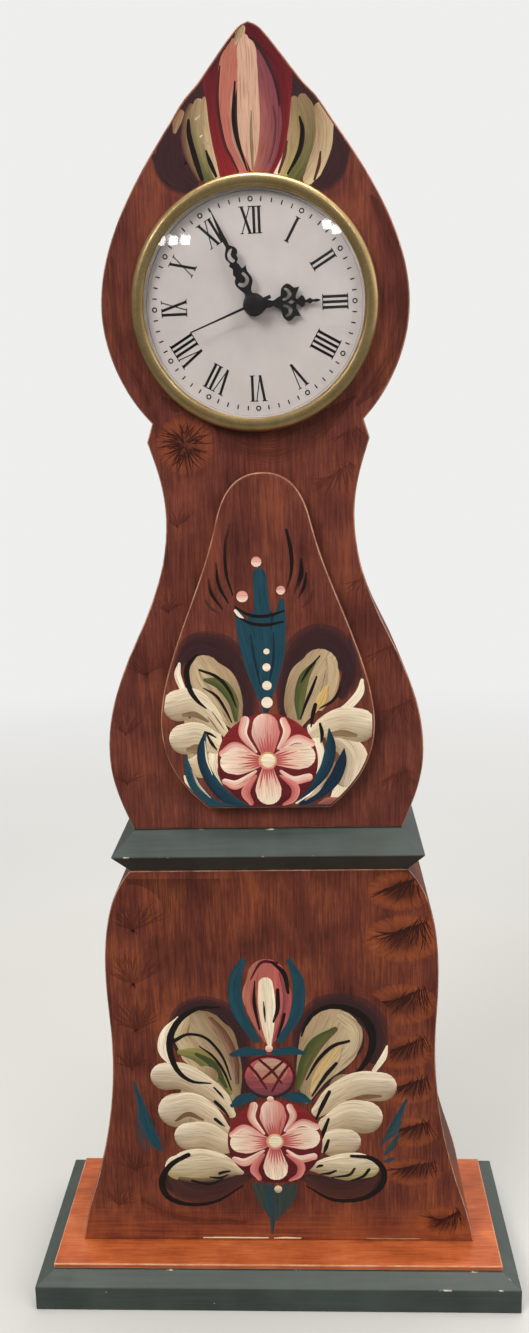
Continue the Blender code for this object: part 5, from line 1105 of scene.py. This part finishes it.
# Prints of root veneer: both ends of the rib, where the hairs at each end point, reach, hairs, strength.
UPPER_FANS = [
    (-21.3, 277.4, -21.2, 276.8, 0, 352, 8.8, 56, 0.86), (27, 271, 20.5, 267, 330, 190, 8, 26, 0.5),
    (29, 281, 24, 279, 330, 200, 5.6, 14, 0.3), (-25, 254, -24, 254, 150, 20, 6.2, 16, 0.3),
    (-29, 228.6, -27.6, 228.6, 160, 30, 6.6, 16, 0.4), (-37, 209.4, -35, 209.2, 160, 30, 7.4, 18, 0.4),
    (-43.6, 191, -41.6, 190.8, 160, 30, 7.6, 18, 0.4), (-44, 175, -42.4, 175, 160, 20, 6.6, 16, 0.4),
    (32.6, 238, 27.8, 236.4, 330, 200, 6, 14, 0.3), (39.6, 217, 34.4, 215, 330, 200, 6.6, 16, 0.3),
    (45, 200, 39, 197.6, 330, 200, 7.4, 18, 0.4), (43.6, 178, 37.6, 175.6, 330, 200, 7, 18, 0.4),
]
LOWER_FANS = [
    (48, 143.4, 38.6, 139.6, 285, 190, 9, 34, 0.98), (49.6, 128, 39.6, 124.4, 295, 185, 11, 40, 0.98),
    (49.4, 105.4, 38.8, 100.8, 290, 185, 9.8, 36, 0.94), (49.4, 88, 38.4, 83.4, 290, 185, 8.4, 32, 0.9),
    (50, 73.6, 41.6, 70.6, 290, 190, 7.4, 28, 0.9), (50.6, 57.6, 42.6, 55.4, 290, 190, 7.6, 28, 0.9),
    (53, 43, 41, 40.4, 290, 190, 7, 30, 0.9), (61, 24.6, 54.4, 20.6, 300, 150, 8.2, 30, 0.98),
    (-44.6, 126.2, -42.6, 126, 168, 20, 12, 40, 0.5), (-45.6, 107.6, -43.6, 107.4, 168, 20, 12, 40, 0.5),
    (-45.4, 91.4, -43.4, 91.2, 165, 20, 9.6, 34, 0.5), (-47.4, 77.6, -45.6, 77.6, 165, 20, 7.4, 24, 0.45),
    (-48, 40, -46, 40, 165, 20, 7.4, 18, 0.45), (-54, 27, -52, 26.6, 150, 10, 7.6, 18, 0.45),
]

# Darker glaze that was wiped on: strokes, and a broad band up the lower case. The stroke under the bezel is
# painted shadow.
WIPED_HEIGHTS = (68.0, 143.0)
WIPED_MIDDLE = -17.0
WIPED_HALF = 28.0
UPPER_GLAZE_AND_SHADOW = [
    ("-vein ~vein ~vein", (29, 288, 1), (38, 302, 7), (41, 318, 9), (37, 334, 6), (33, 343, 1)),
    ("-vein ~vein -vein", (-33, 293, 5), (-39.5, 308, 6), (-40, 326, 4)),
    # Painted shadow of the bezel on the case just below it.
    ("~vein ~vein -vein", (-27, 290, 1), (-15, 280, 6), (3, 273.5, 9), (18, 279, 7), (28, 289, 1)),
]
LOWER_GLAZE = [
    ("-vein ~vein -vein", (-48, 30, 7), (-34, 22, 8), (-14, 20, 4)),
]


# A print's oval against the reach of its hairs: half width, half height, and how far it lies off the rib.
ROUND_PRINT = (1.1, 1.1, 0.0)
RIB_PRINT = (0.78, 0.84, 0.42)
FULL_TURN = 300
FAINT_PRINT = 0.55
SEED = 11
PRINT_LEVELS = (3, 4, 5)
HAIR_LEVELS = range(7, 16)

# A hair: where along its rib it starts, how far out it starts and ends, its bend, its wavering, and its half
# widths along it. A short stub on the rib's other side comes with every third.
HAIR_PLACE = (0.1, 0.9)
HAIR_NEAR = (0.04, 0.4)
HAIR_FAR = (0.6, 1.04)
HAIR_BEND = (-0.3, 0.3)
HAIR_WAVER = (-0.06, 0.06)
HAIR_HALVES = ((0.0, 0.17), (0.3, 0.16), (0.65, 0.13), (1.0, 0.05))
STUB_EVERY = 3
STUB_LEAN = (-0.7, 0.7)
STUB_FAR = (0.12, 0.3)
STUB_HALVES = (0.2, 0.08)
STUB_LIFT = 0.01


def fans(sheet, rows, chance):
    """Prints of lighter glaze, and hairs that branch out from a dark rib or an open middle."""
    for k, (x0, z0, x1, z1, start, end, reach, count, strength) in enumerate(rows):
        whole = abs(end - start) > FULL_TURN
        wide, high, off = (share * reach for share in (ROUND_PRINT if whole else RIB_PRINT))
        wide += math.hypot(x1 - x0, z1 - z0) / 2
        aim = math.radians((start + end) / 2)
        middle = ((x0 + x1) / 2 + off * math.cos(aim), (z0 + z1) / 2 + off * math.sin(aim))
        sheet.count = PRINT_LEVELS[k % len(PRINT_LEVELS)]
        sheet.patch("vein", "honey", *middle, wide, high, strength)
        tints = "~vein" if strength < FAINT_PRINT else "vein vein ~vein ~vein"
        for i in range(count):
            t = (i + chance.uniform(*HAIR_PLACE)) / count
            root_x, root_z = x0 + (x1 - x0) * t, z0 + (z1 - z0) * t
            angle = math.radians(start + (end - start) * t)
            near = reach * chance.uniform(*HAIR_NEAR) * whole
            length = reach * chance.uniform(*HAIR_FAR)
            bend = chance.uniform(*HAIR_BEND)
            spots = []
            for part, half in HAIR_HALVES:
                a = angle + bend * part + chance.uniform(*HAIR_WAVER)
                out = near + (length - near) * part
                spots.append((root_x + out * math.cos(a), root_z + out * math.sin(a), half))
            sheet.count = HAIR_LEVELS[i % len(HAIR_LEVELS)]
            spots = [spot for spot in spots if sheet.held(*spot[:2]) == spot[:2]]
            if len(spots) > 1:
                sheet.stroke(tints, *spots, steps=HAIR_STEPS)
            if i % STUB_EVERY == 0 and not whole:
                a = angle + math.pi + chance.uniform(*STUB_LEAN)
                far = reach * chance.uniform(*STUB_FAR)
                tip = (root_x + far * math.cos(a), root_z + far * math.sin(a) + STUB_LIFT, STUB_HALVES[1])
                sheet.stroke(tints, (root_x, root_z, STUB_HALVES[0]), tip, steps=HAIR_STEPS)


def paint_panels():
    chance = random.Random(SEED)
    upper_face = face_of("upper_case", CASE_ROUND)
    lower_face = face_of("lower_case", CASE_ROUND)
    hood = Sheet(CASE_FRONT, upper_face)
    # Darker strokes first, with the painted shadow under the bezel.
    hood.paint(UPPER_GLAZE_AND_SHADOW)
    fans(hood, UPPER_FANS, chance)
    hood.finish("upper_graining_and_shadow", PAINT_UPPER)
    hood = Sheet(CASE_FRONT, upper_face, GRAIN_LEVELS)
    heights, halves = np.array(HOOD_GROUND).T
    hood.lay("maroon", np.column_stack([np.full(len(heights), HOOD_MIDDLE), heights]), halves)
    hood.paint(HOOD_ROWS)
    hood.finish("hood_painting", PAINT_UPPER)
    door = Sheet(DOOR_FRONT, face_of("door_panel", DOOR_ROUND))
    door.paint(DOOR_HALOS + DOOR_TULIP + DOOR_LEAVES + DOOR_SCALLOPS)
    door.dab(DOOR_DOTS)
    door.paint(DOOR_SPRAYS)
    rose(door, *DOOR_ROSE, chance)
    door.finish("door_painting", PAINT_UPPER)
    lower = Sheet(CASE_FRONT, lower_face)
    heights = np.linspace(*WIPED_HEIGHTS, STROKE_STEPS)
    middles, halves = (np.full(STROKE_STEPS, v) for v in (WIPED_MIDDLE, WIPED_HALF))
    lower.lay("-vein -vein -vein ~vein ~vein -vein", np.column_stack([middles, heights]), halves)
    lower.paint(LOWER_GLAZE)
    fans(lower, LOWER_FANS, chance)
    lower.finish("lower_graining", PAINT_LOWER)
    lower = Sheet(CASE_FRONT, lower_face, GRAIN_LEVELS)
    lower.paint(LOWER_HALOS + LOWER_SPRIGS + LOWER_LEAVES + LOWER_SCALLOPS)
    lower.paint(LOWER_BUD + LOWER_BALL + LOWER_WEAR)
    lower.dab(LOWER_ORB)
    lower.paint(LOWER_LATTICE)
    rose(lower, *LOWER_ROSE, chance)
    lower.dab(LOWER_DOTS)
    lower.finish("lower_painting", PAINT_LOWER)


# Dial print.

PRINT_T = 0.02 * MM
NUMERAL_FOOT = 19.1 * MM
NUMERAL_H = 7.3 * MM
NUMERAL_THICK = 0.78 * MM
NUMERAL_THIN = 0.3 * MM
SERIF_T = 0.26 * MM
SERIF_OVER = 0.36 * MM
LETTER_GAP = 0.68 * MM
SLANT_W = 2.35 * MM
NUMERALS = ["XII", "I", "II", "III", "IIII", "V", "VI", "VII", "VIII", "IX", "X", "XI"]
TRACK_R = 28.3 * MM
TRACK_RING_R = 0.76 * MM
TRACK_RING_IN = 0.40 * MM
TRACK_TICK = 1.25 * MM
TRACK_TICK_W = 0.36 * MM
TRACK_RING_STEPS = 16
PRINT_TURN = math.radians(-1.0)


def letter_shapes(letter):
    """A letter's width and its flat shapes, standing on its foot with its middle at 0."""
    thick, thin, tall = NUMERAL_THICK / 2, NUMERAL_THIN / 2, NUMERAL_H

    def bar(foot, head, half):
        return [(foot - half, 0.0), (foot + half, 0.0), (head + half, tall), (head - half, tall)]

    def serif(middle, half, base):
        wide = half + SERIF_OVER
        return [(middle - wide, base), (middle + wide, base), (middle + wide, base + SERIF_T),
                (middle - wide, base + SERIF_T)]

    top = tall - SERIF_T
    if letter == "I":
        return 2 * thick, [bar(0, 0, thick), serif(0, thick, 0.0), serif(0, thick, top)]
    lean = SLANT_W / 2
    if letter == "V":
        return SLANT_W, [bar(0, -lean, thick), bar(0, lean, thin), serif(-lean, thick, top),
                         serif(lean, thin, top)]
    return SLANT_W, [bar(lean, -lean, thick), bar(-lean, lean, thin), serif(-lean, thick, top),
                     serif(lean, thin, top), serif(-lean, thin, 0.0), serif(lean, thick, 0.0)]


def make_dial_print():
    work = bmesh.new()

    def film(outline):
        """A thin closed piece of print from an outline on the dial."""
        tops, roots = ([work.verts.new((x, DIAL_FACE_Y + side, z)) for x, z in outline]
                       for side in (-PRINT_T, PRINT_T))
        work.faces.new(tops)
        work.faces.new(reversed(roots))
        for i in range(len(tops)):
            j = (i + 1) % len(tops)
            work.faces.new((tops[i], roots[i], roots[j], tops[j]))

    def placed(points, hour):
        """Points of across and out from the middle, turned to an hour."""
        a = 2 * math.pi * hour / 12 + PRINT_TURN
        sine, cosine = math.sin(a), math.cos(a)
        return [(DIAL_SPOT.x + x * cosine + r * sine, DIAL_SPOT.z - x * sine + r * cosine)
                for x, r in points]

    for hour, word in enumerate(NUMERALS):
        letters = [letter_shapes(letter) for letter in word]
        pen = -(sum(wide for wide, shapes in letters) + LETTER_GAP * (len(letters) - 1)) / 2
        for wide, shapes in letters:
            for shape in shapes:
                film(placed([(pen + wide / 2 + x, NUMERAL_FOOT + z) for x, z in shape], hour))
            pen += wide + LETTER_GAP
    for minute in range(60):
        if minute % 5:
            half = TRACK_TICK_W / 2
            low, high = TRACK_R - TRACK_TICK / 2, TRACK_R + TRACK_TICK / 2
            film(placed([(-half, low), (half, low), (half, high), (-half, high)], minute / 5))
            continue
        for i in range(TRACK_RING_STEPS):
            a, b = (2 * math.pi * k / TRACK_RING_STEPS for k in (i, i + 1))
            spots = [(r * math.sin(t), TRACK_R + r * math.cos(t)) for r, t in
                     ((TRACK_RING_IN, a), (TRACK_RING_R, a), (TRACK_RING_R, b), (TRACK_RING_IN, b))]
            film(placed(spots, minute / 5))
    bmesh.ops.recalc_face_normals(work, faces=work.faces)
    shown("dial_print", mesh_of(work, "dial_print"), INK, "insert")


# Bezel and crystal, turned finely inside the CAD solids' boxes.

BEZEL_STEPS = 160
SIGHT_R = 31.0 * MM
SEAT_R = 32.3 * MM
SLEEVE_R = 32.9 * MM
BEZEL_LIP = 2.2 * MM
BEZEL_FOOT = 3.0 * MM
BEZEL_EDGE = 1.3 * MM
BEZEL_OFF = 0.05 * MM
CROWN = 0.6
CROWN_STEPS = 10
GROOVE = 0.15 * MM
GROOVE_ENDS = (0.9 * MM, 0.5 * MM)
GROOVE_FOOT = 0.35 * MM
CRYSTAL_R = 30.95 * MM
CRYSTAL_WALL = 0.6 * MM
CRYSTAL_STEPS = 128
DOME_RISE = 5.2 * MM
DOME_RINGS = 28


def turned_box(node):
    """A turned piece's radius, and how far its front and its back lie off the case."""
    low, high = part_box(node)
    return (high.x - low.x) / 2, CASE_FRONT - low.y, CASE_FRONT - high.y


def make_bezel():
    outer, front, back = turned_box("bezel")
    crown = (outer + SIGHT_R) / 2
    arc = [math.radians(90 * i / CROWN_STEPS) for i in range(CROWN_STEPS + 1)]
    profile = [(SIGHT_R + (crown - SIGHT_R) * (1 - math.cos(a)),
                BEZEL_FOOT + (front - BEZEL_FOOT) * math.sin(a) ** CROWN) for a in arc]
    profile += [(crown + (outer - crown) * math.sin(a),
                 BEZEL_EDGE + (front - BEZEL_EDGE) * abs(math.cos(a)) ** CROWN) for a in arc[1:]]
    profile += [(outer - GROOVE, height) for height in GROOVE_ENDS]
    profile += [(outer, GROOVE_FOOT), (outer, BEZEL_OFF), (SLEEVE_R, BEZEL_OFF), (SLEEVE_R, back)]
    profile += [(SEAT_R, back), (SEAT_R, BEZEL_LIP), (SIGHT_R, BEZEL_LIP)]
    turned("bezel", "bezel_ring", profile, "brass", BEZEL_STEPS)


def dome(radius, rim, apex, rings):
    rise = apex - rim
    ball = (radius ** 2 + rise ** 2) / (2 * rise)
    reach = math.asin(radius / ball)
    return [(ball * math.sin(reach * i / rings), apex - ball * (1 - math.cos(reach * i / rings)))
            for i in range(rings + 1)]


def make_crystal():
    wide, apex, back = turned_box("crystal")
    rim = apex - DOME_RISE
    inner = CRYSTAL_R - CRYSTAL_WALL
    flange = back + CRYSTAL_WALL
    profile = dome(CRYSTAL_R, rim, apex, DOME_RINGS)
    profile += [(CRYSTAL_R, flange), (wide, flange), (wide, back), (inner, back)]
    profile += reversed(dome(inner, rim - CRYSTAL_WALL / 2, apex - CRYSTAL_WALL, DOME_RINGS - 1))
    turned("crystal", "crystal_dome", profile, "clear_lens", CRYSTAL_STEPS)


# Lamps: name, place, size, watts, and whether it shows in glass and brass. The panes are small and bright.
PANE_SIZE = 0.055
PANE_WATTS = 0.22
LAMPS = [
    ("key", (-0.55, -0.75, 0.95), 0.55, 9.8, False), ("fill", (0.75, -0.70, 0.55), 0.60, 4.3, False),
    ("top", (0.05, 0.05, 1.15), 0.60, 7.2, True), ("back", (0.30, 0.95, 0.70), 0.60, 2.6, False),
    ("pane_left", (-0.596, -0.667, 0.80), PANE_SIZE, PANE_WATTS, True),
    ("pane_middle", (-0.529, -0.72, 0.805), PANE_SIZE, PANE_WATTS, True),
    ("pane_right", (-0.458, -0.764, 0.81), PANE_SIZE, PANE_WATTS, True),
    ("pane_side", (0.426, -0.74, 0.88), PANE_SIZE, PANE_WATTS, True),
    ("pane_corner", (0.468, -0.714, 0.84), PANE_SIZE, PANE_WATTS, True),
]
LAMP_TINT = (1.0, 0.97, 0.92)
LAMP_AIM = Vector((0.0, 0.0, 0.2))

# The room's light along a direction: first and last share of it, and the light at each.
ROOM_TINT = (1.0, 0.985, 0.96, 1.0)
ROOM_DEPTH = (-0.95, -0.30, 0.17, 0.55)
ROOM_SIDE = (-1.0, 1.0, 0.45, 1.7)
FLOOR_HALF = 6.0
FLOOR_BOUNCE = (0.13, 0.13, 0.12, 1.0)


def make_floor():
    """A pale floor that runs on into a background of the same paleness."""
    shader = Shader("pale_floor", roughness=0.85)
    tone = shader.grains(0.25, detail=2.0)
    shader.set(base_color=shader.ramp(tone, (0.3, (188, 188, 186)), (0.7, (194, 194, 192))))
    away = shader.add("VectorMath", {0: shader.spot}, operation="LENGTH").outputs["Value"]
    seen = shader.add("LightPath").outputs["Is Camera Ray"]
    share = shader.math("MULTIPLY", shader.fade(away, *FLOOR_FADE), seen)
    haze = shader.add("Emission", {"Color": BACKGROUND}).outputs[0]
    dim = shader.add("BsdfDiffuse", {"Color": FLOOR_BOUNCE}).outputs[0]
    shader.end(shader.either(share, shader.either(seen, dim, shader.surface.outputs[0]), haze))
    work = bmesh.new()
    bmesh.ops.create_grid(work, x_segments=1, y_segments=1, size=FLOOR_HALF)
    mesh = mesh_of(work, "floor")
    mesh.materials.append(shader.material)
    floor = bpy.data.objects.new("floor", mesh)
    bpy.context.scene.collection.objects.link(floor)


def make_room():
    """Light from all round, which is brighter to the right and to the back, and a pale background."""
    world = bpy.data.worlds.new("studio")
    bpy.context.scene.world = world
    world.use_nodes = True
    room = Nodes(world.node_tree)
    way = room.add("SeparateXYZ", {0: room.add("TexCoord").outputs["Generated"]}).outputs
    level = room.math("MULTIPLY", room.fade(way["Y"], *ROOM_DEPTH), room.fade(way["X"], *ROOM_SIDE))
    light, pale = (room.add("Background", {"Color": colour, "Strength": strength}).outputs[0]
                   for colour, strength in ((ROOM_TINT, level), (BACKGROUND, 1.0)))
    room.end(room.either(room.add("LightPath").outputs["Is Camera Ray"], light, pale))


def make_lamps():
    for name, spot, size, watts, mirrored in LAMPS:
        data = bpy.data.lights.new(name, "AREA")
        data.shape = "SQUARE"
        data.size = size
        data.energy = watts
        data.color = LAMP_TINT
        lamp = bpy.data.objects.new(name, data)
        lamp.location = spot
        lamp.visible_glossy = mirrored
        lamp.visible_transmission = mirrored
        lamp.rotation_euler = (LAMP_AIM - Vector(spot)).to_track_quat("-Z", "Y").to_euler()
        bpy.context.scene.collection.objects.link(lamp)


def dress_nodes():
    """Gives every CAD node the look of the record's slot that its material is named after."""
    for node in NODES.values():
        slot = node.data.materials[0].name.split(".")[0]
        node.data.materials.clear()
        node.data.materials.append(SLOT_LOOKS[slot])


make_camera()
dress_nodes()
dressed("plinth", "green_paint", soft=0.5 * MM)
dressed("plinth_step_board", "step_glaze", soft=0.4 * MM)
board("lower_case", RED_LOWER, CASE_ROUND * MM)
dressed("waist_moulding", "green_paint", soft=0.4 * MM)
board("upper_case", RED, CASE_ROUND * MM, bored=True)
board("door_panel", RED, DOOR_ROUND * MM)
make_bezel()
make_crystal()
make_dial_print()
paint_panels()
make_floor()
make_room()
make_lamps()
bpy.context.scene.view_settings.view_transform = "Standard"
